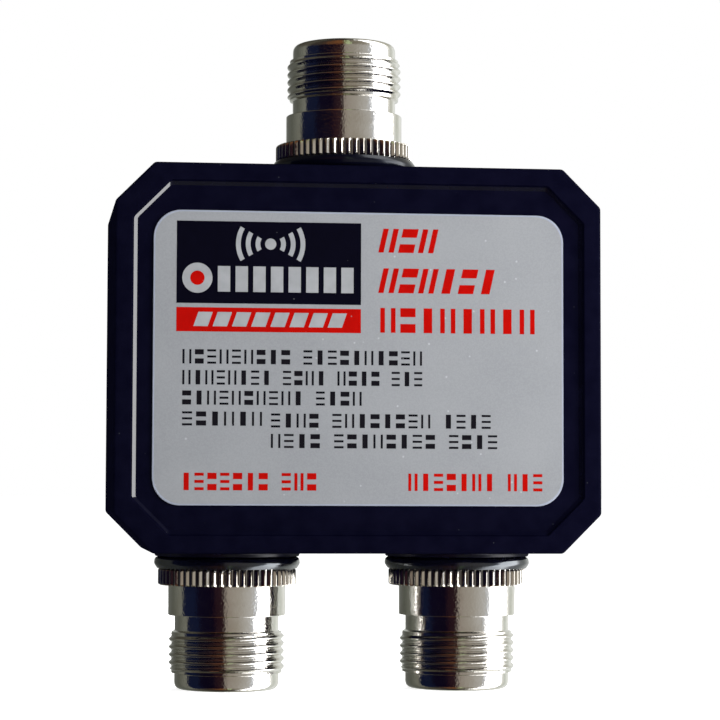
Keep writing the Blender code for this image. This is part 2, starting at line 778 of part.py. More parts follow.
def make_lock_washer(name, port):
    """A washer with inner teeth that bite on the wall behind the jack."""
    outer = round_outline((WASHER_DIAMETER / 2,), ROUND_SIDES)
    tip = SHANK_DIAMETER / 2 + SEAT_GAP
    root = tip + WASHER_TOOTH_LENGTH
    inner = round_outline((tip, tip, root, root), WASHER_TEETH)
    washer = flat_outline(
        name + "_lock_washer", [outer, inner], WASHER_THICKNESS, SPRING_STEEL, port
    )
    washer.location = (0, 0, WASHER_TOP - WASHER_THICKNESS / 2)
    return washer


def make_nut(name, port):
    """The hexagon nut that clamps the jack from inside, with its corners turned off."""
    flats = NUT_ACROSS_FLATS
    corners = flats / math.cos(math.pi / 6)
    bottom = NUT_TOP - NUT_THICKNESS
    shape = bmesh.new()
    add_cylinder(shape, corners, bottom, NUT_TOP, sides=6)
    nut = add_object(name + "_hex_nut", mesh_from(shape, name + "_hex_nut"), ZINC_STEEL, port)
    hole = SHANK_DIAMETER / 2 + SEAT_GAP
    rim = NUT_RIM_DIAMETER / 2
    wide = corners / 2 + SEAT_GAP
    fall = (wide - rim) * math.tan(math.radians(NUT_CHAMFER_ANGLE))
    envelope = turned(
        name + "_nut_envelope",
        [
            (hole, NUT_TOP + CUTTER_OVERRUN),
            (rim, NUT_TOP + CUTTER_OVERRUN),
            (rim, NUT_TOP),
            (wide, NUT_TOP - fall),
            (wide, bottom + fall),
            (rim, bottom),
            (rim, bottom - CUTTER_OVERRUN),
            (hole, bottom - CUTTER_OVERRUN),
        ],
        None,
        port,
        MEDIUM_SIDES,
    )
    cut_or_join(nut, envelope, "INTERSECT")
    return nut


def make_insulator(name, port):
    """The white sleeve that holds the centre contact, wider in front than behind."""
    outer = INSULATOR_DIAMETER / 2
    front_bore = SOCKET_DIAMETER / 2 + SEAT_GAP
    back_bore = STEM_DIAMETER / 2 + SEAT_GAP
    step = SOCKET_SEAT - SEAT_GAP
    profile = [
        (front_bore, INSULATOR_FRONT),
        (outer, INSULATOR_FRONT),
        (outer, SHANK_END),
        (back_bore, SHANK_END),
        (back_bore, step),
        (front_bore, step),
    ]
    return turned(name + "_insulator", profile, WHITE_PLASTIC, port, MEDIUM_SIDES)


def make_contact(name, port):
    """The gold socket, slit in four at its tip, with its stem and solder cup behind."""
    socket, stem, pot = SOCKET_DIAMETER / 2, STEM_DIAMETER / 2, POT_DIAMETER / 2
    bore, cup = SOCKET_BORE / 2, POT_BORE / 2
    profile = [
        (0, SOCKET_TIP - SOCKET_BORE_DEPTH),
        (bore, SOCKET_TIP - SOCKET_BORE_DEPTH),
        (bore, SOCKET_TIP),
        (socket, SOCKET_TIP),
        (socket, SOCKET_SEAT),
        (stem, SOCKET_SEAT),
        (stem, POT_TOP),
        (pot, POT_TOP),
        (pot, POT_END),
        (cup, POT_END),
        (cup, POT_END + POT_BORE_DEPTH),
        (0, POT_END + POT_BORE_DEPTH),
    ]
    contact = turned(
        name + "_centre_contact", profile, GOLD, port, SMALL_SIDES, closed=False
    )
    cut_cross(
        contact,
        name + "_contact_slot",
        SOCKET_DIAMETER + CUTTER_OVERRUN,
        SOCKET_SLOT_WIDTH,
        SOCKET_SLOT_DEPTH,
        SOCKET_TIP,
        port,
        math.radians(SOCKET_SLOT_TURN),
    )
    return contact


def make_board(body):
    """The circuit board, with a hole over each standoff."""
    half_width, half_height = BOARD_WIDTH / 2, BOARD_HEIGHT / 2
    outline = [
        (-half_width, -half_height),
        (half_width, -half_height),
        (half_width, half_height),
        (-half_width, half_height),
    ]
    hole = round_outline((BOARD_SCREW_DIAMETER / 2 + SCREW_CLEARANCE,), SMALL_SIDES)
    holes = [
        [(x + x_sign * STANDOFF_X, y + z_sign * STANDOFF_Z) for x, y in hole]
        for x_sign, z_sign in CORNERS
    ]
    board = flat_outline("circuit_board", [outline, *holes], BOARD_THICKNESS, BOARD_LAMINATE, body)
    board.location = (0, (BOARD_FRONT_Y + BOARD_BACK_Y) / 2, 0)
    board.rotation_euler = (math.pi / 2, 0, 0)
    return board


def make_board_screws(body):
    """Four round-headed screws that hold the board to its standoffs."""
    head, shaft = BOARD_SCREW_HEAD / 2, BOARD_SCREW_DIAMETER / 2
    profile = [
        (0, BOARD_SCREW_HEAD_HEIGHT),
        (BOARD_SCREW_CROWN / 2, BOARD_SCREW_HEAD_HEIGHT),
        (head, BOARD_SCREW_RIM_HEIGHT),
        (head, 0),
        (shaft, 0),
        (shaft, -BOARD_SCREW_LENGTH + shaft),
        (0, -BOARD_SCREW_LENGTH),
    ]
    for corner, (x_sign, z_sign) in zip(CORNER_NAMES, CORNERS):
        name = "board_screw_" + corner
        screw = turned(name, profile, ZINC_STEEL, body, SMALL_SIDES, closed=False)
        screw.location = (x_sign * STANDOFF_X, PART_FOOT_Y, z_sign * STANDOFF_Z)
        screw.rotation_euler = (-math.pi / 2, 0, 0)


def make_screen(body):
    """A bent tinplate wall on the board, between the low-band and high-band halves."""
    half = SCREEN_THICKNESS / 2
    outline = [
        (-half, 0),
        (SCREEN_FOOT, 0),
        (SCREEN_FOOT, SCREEN_THICKNESS),
        (half, SCREEN_THICKNESS),
        (half, SCREEN_REACH),
        (-half, SCREEN_REACH),
    ]
    screen = flat_outline("screen_wall", [outline], SCREEN_HEIGHT, TINPLATE, body)
    screen.location = (0, PART_FOOT_Y, SCREEN_MIDDLE)
    return screen


def coil_points(radius, turns, pitch, lift):
    """A helix round local X, with both ends brought straight down to the board."""
    steps = turns * COIL_POINTS_PER_TURN
    start = -turns * pitch / 2
    points = [(start, 0, 0)]
    for i in range(steps + 1):
        angle = -math.pi / 2 + 2 * math.pi * i / COIL_POINTS_PER_TURN
        x = start + pitch * i / COIL_POINTS_PER_TURN
        y = lift + radius + radius * math.sin(angle)
        points.append((x, y, radius * math.cos(angle)))
    points.append((-start, 0, 0))
    return points


def make_coils(body):
    """Three wide coils in the low-band half and two small ones in the high-band half."""
    foot = PART_FOOT_Y
    low = coil_points(LOW_COIL_RADIUS, LOW_COIL_TURNS, LOW_COIL_PITCH, COIL_LIFT)
    for number, height in enumerate(LOW_COIL_Z, 1):
        coil = wire(f"low_band_coil_{number}", low, LOW_COIL_WIRE, COPPER_WIRE, body)
        coil.location = (-LOW_COIL_FROM_SCREEN, foot, height)
    high = coil_points(HIGH_COIL_RADIUS, HIGH_COIL_TURNS, HIGH_COIL_PITCH, COIL_LIFT)
    places = (HIGH_COIL_FROM_SCREEN, BOARD_WIDTH / 2 - HIGH_COIL_FROM_EDGE)
    for number, (across, height) in enumerate(zip(places, HIGH_COIL_Z), 1):
        coil = wire(f"high_band_coil_{number}", high, HIGH_COIL_WIRE, COPPER_WIRE, body)
        coil.location = (across, foot, height)


def capacitor_places():
    """Two at the low-band edge, two beside the screen and one at the high-band edge."""
    edge = BOARD_WIDTH / 2
    places = [(LOW_CAPACITOR_FROM_EDGE - edge, height) for height in LOW_CAPACITOR_Z]
    places += [(CAPACITOR_FROM_SCREEN, height) for height in MIDDLE_CAPACITOR_Z]
    places.append((edge - HIGH_CAPACITOR_FROM_EDGE, HIGH_CAPACITOR_Z))
    return places


def make_capacitors(body):
    """Ceramic disc capacitors, each standing on its two leads."""
    radius, half = CAPACITOR_DIAMETER / 2, CAPACITOR_THICKNESS / 2
    profile = [
        (0, half),
        (radius - half, half),
        (radius, 0),
        (radius - half, -half),
        (0, -half),
    ]
    for number, (across, height) in enumerate(capacitor_places(), 1):
        name = f"capacitor_{number}"
        disc = turned(name, profile, CERAMIC, body, SMALL_SIDES, closed=False)
        disc.location = (across, PART_FOOT_Y + CAPACITOR_LIFT + radius, height)
        shape = bmesh.new()
        bottom = -CAPACITOR_LIFT - radius
        top = bottom + CAPACITOR_LEAD_LENGTH
        for side in (-1, 1):
            place = (side * CAPACITOR_LEAD_SPREAD / 2, 0)
            add_cylinder(shape, CAPACITOR_LEAD, bottom, top, place, LEAD_SIDES)
        bmesh.ops.transform(shape, matrix=TO_Y, verts=shape.verts)
        leads = add_object(name + "_leads", mesh_from(shape, name + "_leads"), parent=disc)
        join(disc, leads)


def make_lead_wires(body):
    """A wire from each solder cup, bent over to its landing on the board."""
    start = BODY_HEIGHT / 2 + POT_END + POT_BORE_DEPTH - SEAT_GAP
    bend = BODY_HEIGHT / 2 + POT_END - LEAD_WIRE
    landing = BODY_HEIGHT / 2 + POT_END - LEAD_DROP
    drop = bend - landing
    for name, across, on_top in jack_places():
        sign = 1 if on_top else -1
        points = [(across, JACK_AXIS_Y, sign * start), (across, JACK_AXIS_Y, sign * bend)]
        for i in range(1, LEAD_BEND_STEPS):
            angle = math.pi / 2 * i / LEAD_BEND_STEPS
            y = JACK_AXIS_Y - LEAD_BEND_REACH * (1 - math.cos(angle))
            points.append((across, y, sign * (bend - drop * math.sin(angle))))
        points.append((across, PART_FOOT_Y, sign * landing))
        wire(name + "_lead_wire", points, LEAD_WIRE, TINNED_WIRE, body)


def make_jack(name, across, on_top, body):
    port = port_frame(name, across, on_top, body)
    make_shell(name, port)
    make_sealing_ring(name, port)
    make_lock_washer(name, port)
    make_nut(name, port)
    make_insulator(name, port)
    make_contact(name, port)


def build():
    body = body_frame()
    ports = [(across, 1 if on_top else -1) for name, across, on_top in jack_places()]
    make_housing(body, ports)
    make_back_cover(body)
    make_cover_screws(body)
    make_label(body)
    for name, across, on_top in jack_places():
        make_jack(name, across, on_top, body)
    make_board(body)
    make_board_screws(body)
    make_screen(body)
    make_coils(body)
    make_capacitors(body)
    make_lead_wires(body)


build()
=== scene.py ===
"""Looks of the radio duplexer: plated jacks with cut threads, coated casting, printed label."""

import math
import random

import bmesh
import bpy
from mathutils import Matrix, Vector


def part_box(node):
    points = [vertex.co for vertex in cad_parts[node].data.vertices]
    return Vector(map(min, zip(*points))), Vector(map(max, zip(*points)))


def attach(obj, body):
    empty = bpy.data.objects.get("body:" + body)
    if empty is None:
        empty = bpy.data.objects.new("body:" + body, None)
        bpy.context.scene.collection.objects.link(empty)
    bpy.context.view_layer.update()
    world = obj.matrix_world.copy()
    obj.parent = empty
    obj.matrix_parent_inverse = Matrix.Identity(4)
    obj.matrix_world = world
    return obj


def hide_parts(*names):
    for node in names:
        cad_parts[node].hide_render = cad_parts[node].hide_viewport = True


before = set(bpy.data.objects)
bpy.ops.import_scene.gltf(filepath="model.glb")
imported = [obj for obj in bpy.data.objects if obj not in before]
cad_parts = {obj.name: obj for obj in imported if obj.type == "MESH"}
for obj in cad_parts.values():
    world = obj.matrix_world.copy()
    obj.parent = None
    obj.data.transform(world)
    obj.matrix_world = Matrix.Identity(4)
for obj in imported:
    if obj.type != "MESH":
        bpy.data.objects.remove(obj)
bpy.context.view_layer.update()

MM = 0.001
BODY = "root"
X, Y, Z = 0, 1, 2


def ends(node, axis):
    """Where a solid starts and ends along an axis, in mm."""
    low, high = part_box(node)
    return round(low[axis] / MM, 3), round(high[axis] / MM, 3)


def centre(node, axis):
    """The centre of a solid along an axis, in mm."""
    return round(sum(ends(node, axis)) / 2, 3)


def half(node, axis):
    """Half a solid's size along an axis, in mm."""
    low, high = ends(node, axis)
    return round((high - low) / 2, 3)


def outward(node):
    """Where a solid of the top jack starts and ends, in mm from the top wall outward."""
    return [round(z - BODY_MIDDLE_Z - BODY_HALF[1], 3) for z in ends(node, Z)]


# Camera, fitted to measured edges of the photograph
CAMERA_PLACE = (-0.04408, -0.34178, 0.02723)
CAMERA_AZIMUTH = -6.836
CAMERA_ELEVATION = -3.623
CAMERA_ROLL = 0.206
CAMERA_LENS = 124.497
CAMERA_SENSOR = 36.0
CAMERA_SHIFT = (0.050067, -0.03834)

# Housing, in mm: its outside from the solids, and the rest about its middle
BODY_HALF = (half("back_cover", X), half("back_cover", Z))
BODY_MIDDLE_Z = centre("back_cover", Z)
FRONT_Y, RIM_BACK_Y = ends("housing", Y)
RIB_FRONT_Y, BACK_Y = ends("back_cover", Y)
PANEL_Y = -14.2
FRONT_INSIDE_Y = -11.8
COVER_FRONT_Y = 13.2
BODY_CORNER = 5.2
# The share of an inset that a cut corner loses, so that its flat moves in as far as the walls
CORNER_LOSS = 2 - math.sqrt(2)
CORNER_ROUND = 0.8
EDGE_ROUND = 0.4
PANEL_IN = 2.3
PANEL_SLOPE = 0.7
PANEL_CORNER = 5.0
# The foot of the steep step above the panel's slope: inset and Y
PANEL_STEP = (2.50, -14.53)
# How far outside the panel the corners already have the panel's size
PANEL_CORNER_LEAD = 0.4
# At the cut corners the panel's slope has this share of its width
SLOPE_AT_CORNER = 0.8
WALL = 2.4
CORNER_SCREW = "cover_screw_upper_right"
POST_PLACE = (centre(CORNER_SCREW, X), round(centre(CORNER_SCREW, Z) - BODY_MIDDLE_Z, 3))
POST_RADIUS = 2.5
POST_HOLE = 1.45
POST_HOLE_FLOOR_Y = 5.4
POST_ROOT_Y = -13.0
STANDOFF_PLACE = (22.5, 14.5)
STANDOFF_HOLE = 1.2
STANDOFF_TOP_Y = -9.8
# Only faces this far in from the outline can belong to the panel's slope
SLOPE_LEAST_INSET = 1.5

# Back cover and its screws, in mm
COVER_ROUND = 0.4
COVER_LAST_INSET = 1.2
COVER_HOLE = 1.45
COVER_HOLE_START_Y = 12.5
COVER_SINK = 2.5
COVER_SINK_START_Y = 13.8
COVER_RIB_X = (28.7, 29.9)
COVER_RIB_HALF = 18.4
COVER_RIB_Y = (RIB_FRONT_Y, 13.4)
# A screw from its tip to its head: radius, height over the cover's back, and round
SCREW_SIDE = (
    (0, -9.0, 0),
    (1.25, -7.75, 0),
    (1.25, -1.2, 0),
    (2.22, -0.24, 0.1),
    (2.05, -0.16, 0.1),
    (0, -0.12, 0),
)
# An arm of its cross recess from the floor up: half length, half width, and height likewise
CROSS_LEVELS = ((0.55, 0.16, -0.95), (1.25, 0.30, -0.1), (1.4, 0.33, 0.3))

# The signs of X and Z for what repeats in the four corners, and the screws' own order and names
QUARTERS = ((-1, -1), (-1, 1), (1, -1), (1, 1))
SCREW_CORNERS = (
    ("upper_left", -1, 1),
    ("upper_right", 1, 1),
    ("lower_right", 1, -1),
    ("lower_left", -1, -1),
)

# Jacks: name, place across, and +1 for the top or -1 for the bottom
JACKS = (
    ("common", centre("common_jack_shell", X), 1),
    ("low_band", centre("low_band_jack_shell", X), -1),
    ("high_band", centre("high_band_jack_shell", X), -1),
)
JACK_AXIS_Y = centre("common_jack_shell", Y)

# Jack, in mm, with heights outward from the wall
SHANK_END, JACK_REACH = outward("common_jack_shell")
NOSE_RADIUS = 7.15
NOSE_ROUND = 1.25
MOUTH_RADIUS = 4.35
MOUTH_FLOOR = 9.75
MOUTH_CHAMFER = 0.4
BARREL_RADIUS = 8.05
BARREL_END = 8.75
SHANK_RADIUS = 6.8
SHANK_CHAMFER = 0.4
SHANK_HOLE = 3.7

# Thread of a jack
THREAD_PITCH = 25.4 / 24
THREAD_CREST = 7.9375
THREAD_DEPTH = 0.37
THREAD_START = 10.95
THREAD_END = 16.60
# Rows of vertices in one pitch
THREAD_ROWS = 16
# The helix is this much smaller all over than the nominal thread
THREAD_WEAR = 0.02
# At both ends the thread grows out of this radius, by so much for each mm of height
THREAD_FADE_RADIUS = 7.12
THREAD_FADE_IN = 1.5
THREAD_FADE_OUT = 1.2

# Knurled flange of a jack
FLANGE_BASE = 2.35
FLANGE_TOP = 4.65
FLANGE_RADIUS = half("common_jack_shell", X)
FLANGE_HOLE = 8.0
# The jack's body and the front of the flange's core lie this far inside the teeth's ends
FLANGE_SINK = 0.03
FLANGE_BODY_RADIUS = 8.7
TEETH = 58
TOOTH_DEPTH = 0.45
GROOVE_RADIUS = FLANGE_RADIUS - TOOTH_DEPTH
# Painted shade reaches this high up from the groove's floor
GROOVE_SHADE_HEIGHT = 0.10
# Half a tooth from foot to crest: share of the pitch aside, radius, and share of the ends' wear
TOOTH_SIDE = (
    (0.48, GROOVE_RADIUS - 0.01, 0),
    (0.33, GROOVE_RADIUS + 0.14, 0.6),
    (0.09, FLANGE_RADIUS - 0.05, 1),
    (0.045, FLANGE_RADIUS - 0.012, 1),
)
# A tooth from end to end: wear and height
TOOTH_LEVELS = (
    (0.34, FLANGE_BASE),
    (0.08, FLANGE_BASE + 0.12),
    (0, FLANGE_BASE + 0.26),
    (0, FLANGE_TOP - 0.30),
    (0.08, FLANGE_TOP - 0.14),
    (0.34, FLANGE_TOP),
)

# Boss and sealing ring round a jack: the hole, and the outside as radius, height and round
BOSS_HOLE = 7.0
BOSS_TOP = outward("housing")[1]
BOSS_SIDE = ((10.4, -1.0, 0), (10.8, 0.0, 0), (10.1, 0.10, 0.5), (9.85, BOSS_TOP, 0.2))
SEAL_HOLE = 7.0
SEAL_SIDE = ((9.58, 2.36, 0.15), (10.04, 1.70, 0.7), (9.94, 0.98, 0.5), (9.40, 0.68, 0.1))

# Insulating sleeve and centre contact in a jack
SLEEVE_RADIUS = half("common_insulator", X)
SLEEVE_FRONT = outward("common_insulator")[1]
SLEEVE_HOLE = 1.1
SLEEVE_SEAT = 1.72
SLEEVE_SEAT_FLOOR = 5.55
CUP_FRONT, SOCKET_FRONT = outward("common_centre_contact")
SOCKET_RADIUS = half("common_centre_contact", X)
SOCKET_HOLE = 0.85
SOCKET_BACK = 5.75
SOCKET_FLOOR = 10.2
# The fingers start here, a little inside the root, and lean in by so much at their tips
FINGER_START = 11.15
FINGER_OVERLAP = 0.05
FINGER_LEAN = 0.02
FINGER_STEPS = 10
SLIT_WIDTH = 0.30
SLIT_RADIUS = 1.2
SLIT_TURN = math.radians(11.25)
STEM_RADIUS = 0.9
CUP_RADIUS = 1.3
CUP_HOLE = 0.8
CUP_BACK = -6.9
CUP_HOLE_FLOOR = -7.9

# Sides of turned shapes, and the angle in degrees from which an edge stays sharp
ROUND_SIDES = 144
SLEEVE_SIDES = 64
SMALL_SIDES = 48
POST_SIDES = 32
SHARP_ANGLE = 34
KNURL_SHARP_ANGLE = 40

# Label, in mm from its middle
LABEL_HALF = (half("front_label", X), half("front_label", Z))
LABEL_CORNER = 3.65
LABEL_CORNER_STEPS = 12
LABEL_RIM = 0.22
LABEL_ROUND = 0.05
LABEL_FRONT_Y, LABEL_BACK_Y = ends("front_label", Y)

# Print: thickness of an ink, how deep its foot stands in the film, and gap between groups of marks
INK = 0.012
INK_FOOT = 0.02
GROUP_GAP = 0.8
MARKS = ("block", "pair", "split", "rows")
BOLD_MARKS = ("block", "pair", "split")
# Shares of a mark: how far a block is set in at each side, and how high each half of a split is
BLOCK_INSET = 0.22
SPLIT_HEIGHT = 0.36
# Rows of marks: left, right, low, high, marks in each group, seed, pen; then slant, fill, kinds
RED_ROWS = (
    (2.4, 10.9, 14.2, 17.4, (3,), 11, 0.72, 0.22, 0.78, BOLD_MARKS),
    (2.4, 19.0, 8.8, 12.1, (6,), 12, 0.72, 0.22, 0.78, BOLD_MARKS),
    (2.7, 24.0, 3.5, 6.8, (8,), 13, 0.62, 0.0, 0.76, BOLD_MARKS),
    (-23.6, -5.6, -17.5, -15.2, (7, 3), 14, 0.40),
    (6.5, 24.8, -17.5, -15.2, (7, 3), 15, 0.40),
)
BLACK_ROWS = (
    (-23.6, 8.5, -0.85, 1.05, (9, 10), 21, 0.28),
    (-23.6, 8.5, -3.6, -1.7, (8, 4, 4, 3), 22, 0.28),
    (-23.6, 0.4, -6.25, -4.4, (10, 4), 23, 0.28),
    (-23.6, -12.8, -9.0, -7.15, (6,), 24, 0.28),
    (-11.85, 17.8, -9.2, -7.35, (4, 8, 4), 25, 0.28),
    (-11.85, 18.7, -11.9, -10.05, (4, 8, 4), 26, 0.28),
)
# Fields, each as left, right, low, high
NAVY_FIELD = (-24.45, 0.1, 7.15, 18.05)
RED_FIELD = (-24.45, 0.1, 3.4, 6.6)
# A radio wave: its middle, the dot in it, the arcs' radii and half width, and half their angle
WAVE_MIDDLE = (-12.0, 15.1)
WAVE_DOT = 0.75
WAVE_RADII = (1.7, 3.0, 4.3)
WAVE_HALF_WIDTH = 0.32
WAVE_HALF_ANGLE = 30
# A pale disc with a red dot
DISC_MIDDLE = (-21.7, 10.5)
DISC_RADIUS = 2.0
DISC_DOT = 0.95
# Rows of eight pale bars: left end, step, width, low, high and slant
PALE_BARS = (
    (-19.0, 2.35, 1.65, 8.7, 12.1, 0.0),
    (-22.2, 2.55, 1.9, 4.1, 6.0, 0.35),
)

# Kept solids: a part of the name, and the finish
KEPT_FINISHES = {
    "hex_nut": "zinc_steel",
    "board_screw": "zinc_steel",
    "lock_washer": "spring_steel",
    "coil": "copper",
    "capacitor": "capacitor",
    "lead_wire": "tinned",
    "circuit_board": "board",
    "screen_wall": "tinplate",
}

# Floor, with its own light towards the camera
FLOOR_HALF = 8
FLOOR_COLOUR = (0.86, 0.86, 0.86, 1)
FLOOR_GLOW = 0.80

# Dome for all that isn't a mirror: colour, strength, and how much more of it comes from the right
DOME_COLOUR = (0.97, 0.99, 1.0, 1)
DOME_STRENGTH = 0.39
DOME_TILT = 0.14

# Soft lights: name, place in metres, size and energy
LIGHTS = (
    ("side_light", (0.22, -0.18, 0.10), 0.16, 0.68),
    ("back_light", (0.06, 0.24, 0.20), 0.14, 0.8),
)


# Materials


class Nodes:
    """A node tree, with helpers that add nodes to it."""

    def __init__(self, tree):
        self.tree = tree

    def node(self, kind, values=None, **settings):
        made = self.tree.nodes.new(kind)
        for key, value in settings.items():
            setattr(made, key, value)
        for key, value in (values or {}).items():
            made.inputs[key].default_value = value
        return made

    def link(self, source, target):
        self.tree.links.new(source, target)

    def math(self, operation, *values):
        made = self.node("ShaderNodeMath", operation=operation)
        for socket, value in zip(made.inputs, values):
            if isinstance(value, (int, float)):
                socket.default_value = value
            else:
                self.link(value, socket)
        return made.outputs["Value"]

    def mix(self, share, first, second):
        made = self.node("ShaderNodeMix", data_type="RGBA")
        self.link(share, made.inputs["Factor"])
        for key, value in (("A", first), ("B", second)):
            socket = next(s for s in made.inputs if s.name == key and s.type == "RGBA")
            if isinstance(value, tuple):
                socket.default_value = (*value, 1)
            else:
                self.link(value, socket)
        return next(s for s in made.outputs if s.type == "RGBA")

    def mix_shaders(self, share, first, second):
        made = self.node("ShaderNodeMixShader")
        for socket, value in zip(made.inputs, (share, first.outputs[0], second.outputs[0])):
            self.link(value, socket)
        return made


class Finish(Nodes):
    """A node material with helpers for its procedural inputs."""

    def __init__(self, name, colour, roughness, metallic=0.0):
        self.material = bpy.data.materials.new(name)
        self.material.use_nodes = True
        super().__init__(self.material.node_tree)
        self.shader = self.tree.nodes["Principled BSDF"]
        self.shader.inputs["Base Color"].default_value = (*colour, 1)
        self.shader.inputs["Roughness"].default_value = roughness
        self.shader.inputs["Metallic"].default_value = metallic
        self.place = self.node("ShaderNodeTexCoord").outputs["Object"]

    def stretched(self, scale):
        mapping = self.node("ShaderNodeMapping", {"Scale": scale})
        self.link(self.place, mapping.inputs["Vector"])
        return mapping.outputs["Vector"]

    def noise(self, scale, detail=3.0, vector=None):
        made = self.node("ShaderNodeTexNoise", {"Scale": scale, "Detail": detail})
        self.link(vector or self.place, made.inputs["Vector"])
        return made.outputs["Fac"]

    def span(self, value, low, high, start=0.35, end=0.65):
        made = self.node(
            "ShaderNodeMapRange",
            {"From Min": start, "From Max": end, "To Min": low, "To Max": high},
        )
        self.link(value, made.inputs["Value"])
        return made.outputs["Result"]

    def colour(self, output):
        self.link(output, self.shader.inputs["Base Color"])

    def roughness(self, output):
        self.link(output, self.shader.inputs["Roughness"])

    def bump(self, height, depth, strength=1.0):
        made = self.node("ShaderNodeBump", {"Strength": strength, "Distance": depth})
        self.link(height, made.inputs["Height"])
        old = self.shader.inputs["Normal"]
        if old.is_linked:
            self.link(old.links[0].from_socket, made.inputs["Normal"])
        self.link(made.outputs["Normal"], old)

    def sheen(self, strength, roughness):
        """An even mirror share over a shader that has none of its own."""
        self.shader.inputs["Specular IOR Level"].default_value = 0
        gloss = self.node("ShaderNodeBsdfGlossy", {"Color": (1, 1, 1, 1), "Roughness": roughness})
        normal = self.shader.inputs["Normal"]
        if normal.is_linked:
            self.link(normal.links[0].from_socket, gloss.inputs["Normal"])
        both = self.node("ShaderNodeMixShader", {"Fac": strength})
        self.link(self.shader.outputs[0], both.inputs[1])
        self.link(gloss.outputs[0], both.inputs[2])
        self.link(both.outputs[0], self.tree.nodes["Material Output"].inputs["Surface"])

    def specks(self, cell, size, share):
        """Small round specks, in a share of cells of the given width in metres."""
        cells = self.node("ShaderNodeTexVoronoi", {"Scale": 1 / cell})
        self.link(self.place, cells.inputs["Vector"])
        picked = self.node("ShaderNodeSeparateColor")
        self.link(cells.outputs["Color"], picked.inputs["Color"])
        near = self.span(cells.outputs["Distance"], 1, 0, size / cell * 0.45, size / cell)
        chosen = self.math("LESS_THAN", picked.outputs["Red"], share)
        uneven = self.span(picked.outputs["Green"], 0.35, 1, 0, 1)
        return self.math("MULTIPLY", near, self.math("MULTIPLY", chosen, uneven))


def mottled(name, colour, other, roughness, spread, metallic=0.0, grain=900.0, depth=0.0):
    """A finish with two close colours, uneven gloss and a fine grain."""
    finish = Finish(name, colour, roughness, metallic)
    finish.colour(finish.mix(finish.span(finish.noise(grain / 4), 0, 1), colour, other))
    finish.roughness(finish.span(finish.noise(grain), roughness - spread, roughness + spread))
    if depth:
        finish.bump(finish.noise(grain * 3), depth)
    return finish


def coat_finish(name, sheen, roughness):
    """Blue-black coat with a fine grain, faint rubs and a little dust."""
    finish = mottled(name, (0.0022, 0.0022, 0.0108), (0.0036, 0.0036, 0.0145), 0.5, 0.1, grain=1600)
    finish.bump(finish.noise(2600), 0.000006)
    finish.bump(finish.noise(420, 2), 0.00002, 0.5)
    dust = finish.specks(0.0016, 0.00010, 0.35)
    base = finish.shader.inputs["Base Color"].links[0].from_socket
    finish.colour(finish.mix(dust, base, (0.07, 0.075, 0.09)))
    finish.sheen(sheen, roughness)
    return finish


def label_finish():
    """Silver-grey film with a fine grain, soft waves, dust and a few small blisters."""
    finish = Finish("label_film", (0.36, 0.37, 0.39), 0.6)
    waves = finish.span(finish.noise(90, 2), 0, 1)
    cloud = finish.mix(waves, (0.340, 0.351, 0.374), (0.366, 0.377, 0.399))
    grain = finish.mix(finish.span(finish.noise(5200, 1), 0, 0.22), cloud, (0.48, 0.49, 0.51))
    dust = finish.specks(0.0021, 0.00018, 0.80)
    finish.colour(finish.mix(dust, grain, (0.80, 0.82, 0.85)))
    finish.bump(finish.noise(150, 1), 0.00004, 0.35)
    finish.bump(finish.specks(0.0030, 0.00045, 0.35), 0.00004, 0.8)
    finish.sheen(0.014, 0.42)
    return finish


def ink_finish(name, colour):
    """Printing ink with a little dust on it."""
    finish = mottled(name, colour, tuple(c * 0.88 for c in colour), 0.5, 0.05, grain=2400)
    dust = finish.specks(0.0019, 0.00013, 0.40)
    base = finish.shader.inputs["Base Color"].links[0].from_socket
    finish.colour(finish.mix(dust, base, (0.28, 0.28, 0.30)))
    finish.sheen(0.003, 0.30)
    return finish


def nickel_finish():
    """Bright plate with faint turning marks, small dents and uneven gloss."""
    finish = Finish("nickel_plate", (0.80, 0.78, 0.75), 0.10, 1.0)
    stain = finish.span(finish.noise(260, 3), 0, 1, 0.45, 0.75)
    finish.colour(finish.mix(stain, (0.79, 0.775, 0.75), (0.68, 0.65, 0.60)))
    finish.roughness(finish.span(finish.noise(900, 4), 0.06, 0.14))
    rings = finish.noise(1.0, 2, finish.stretched((120, 120, 9000)))
    finish.bump(rings, 0.0000010)
    finish.bump(finish.noise(500, 3), 0.000016, 0.6)
    finish.bump(finish.noise(3200, 2), 0.000024)
    return finish


def knurl_finish():
    """Plate on the teeth of the knurl, a little worn."""
    finish = mottled("knurl_plate", (0.82, 0.78, 0.72), (0.70, 0.66, 0.60), 0.14, 0.04, 1.0, 900)
    finish.bump(finish.noise(2400, 3), 0.000016)
    return finish


def groove_shade_finish():
    """Plate in the grooves of the knurl, darkened as painted shade between the teeth."""
    finish = mottled("knurl_groove_shade", (0.020, 0.016, 0.024), (0.040, 0.032, 0.036), 0.5, 0.1, 0.3, 1200)
    finish.bump(finish.noise(2400, 3), 0.000008)
    return finish


def rubber_finish(name, shine):
    """Glossy black rubber, a little cold in its shine."""
    finish = mottled(name, (0.0025, 0.0028, 0.0100), (0.0040, 0.0043, 0.0130), 0.14, 0.03, grain=700)
    finish.bump(finish.noise(1500, 3), 0.000008)
    finish.shader.inputs["Specular IOR Level"].default_value = shine
    finish.shader.inputs["Specular Tint"].default_value = (0.86, 0.93, 1.0, 1)
    return finish


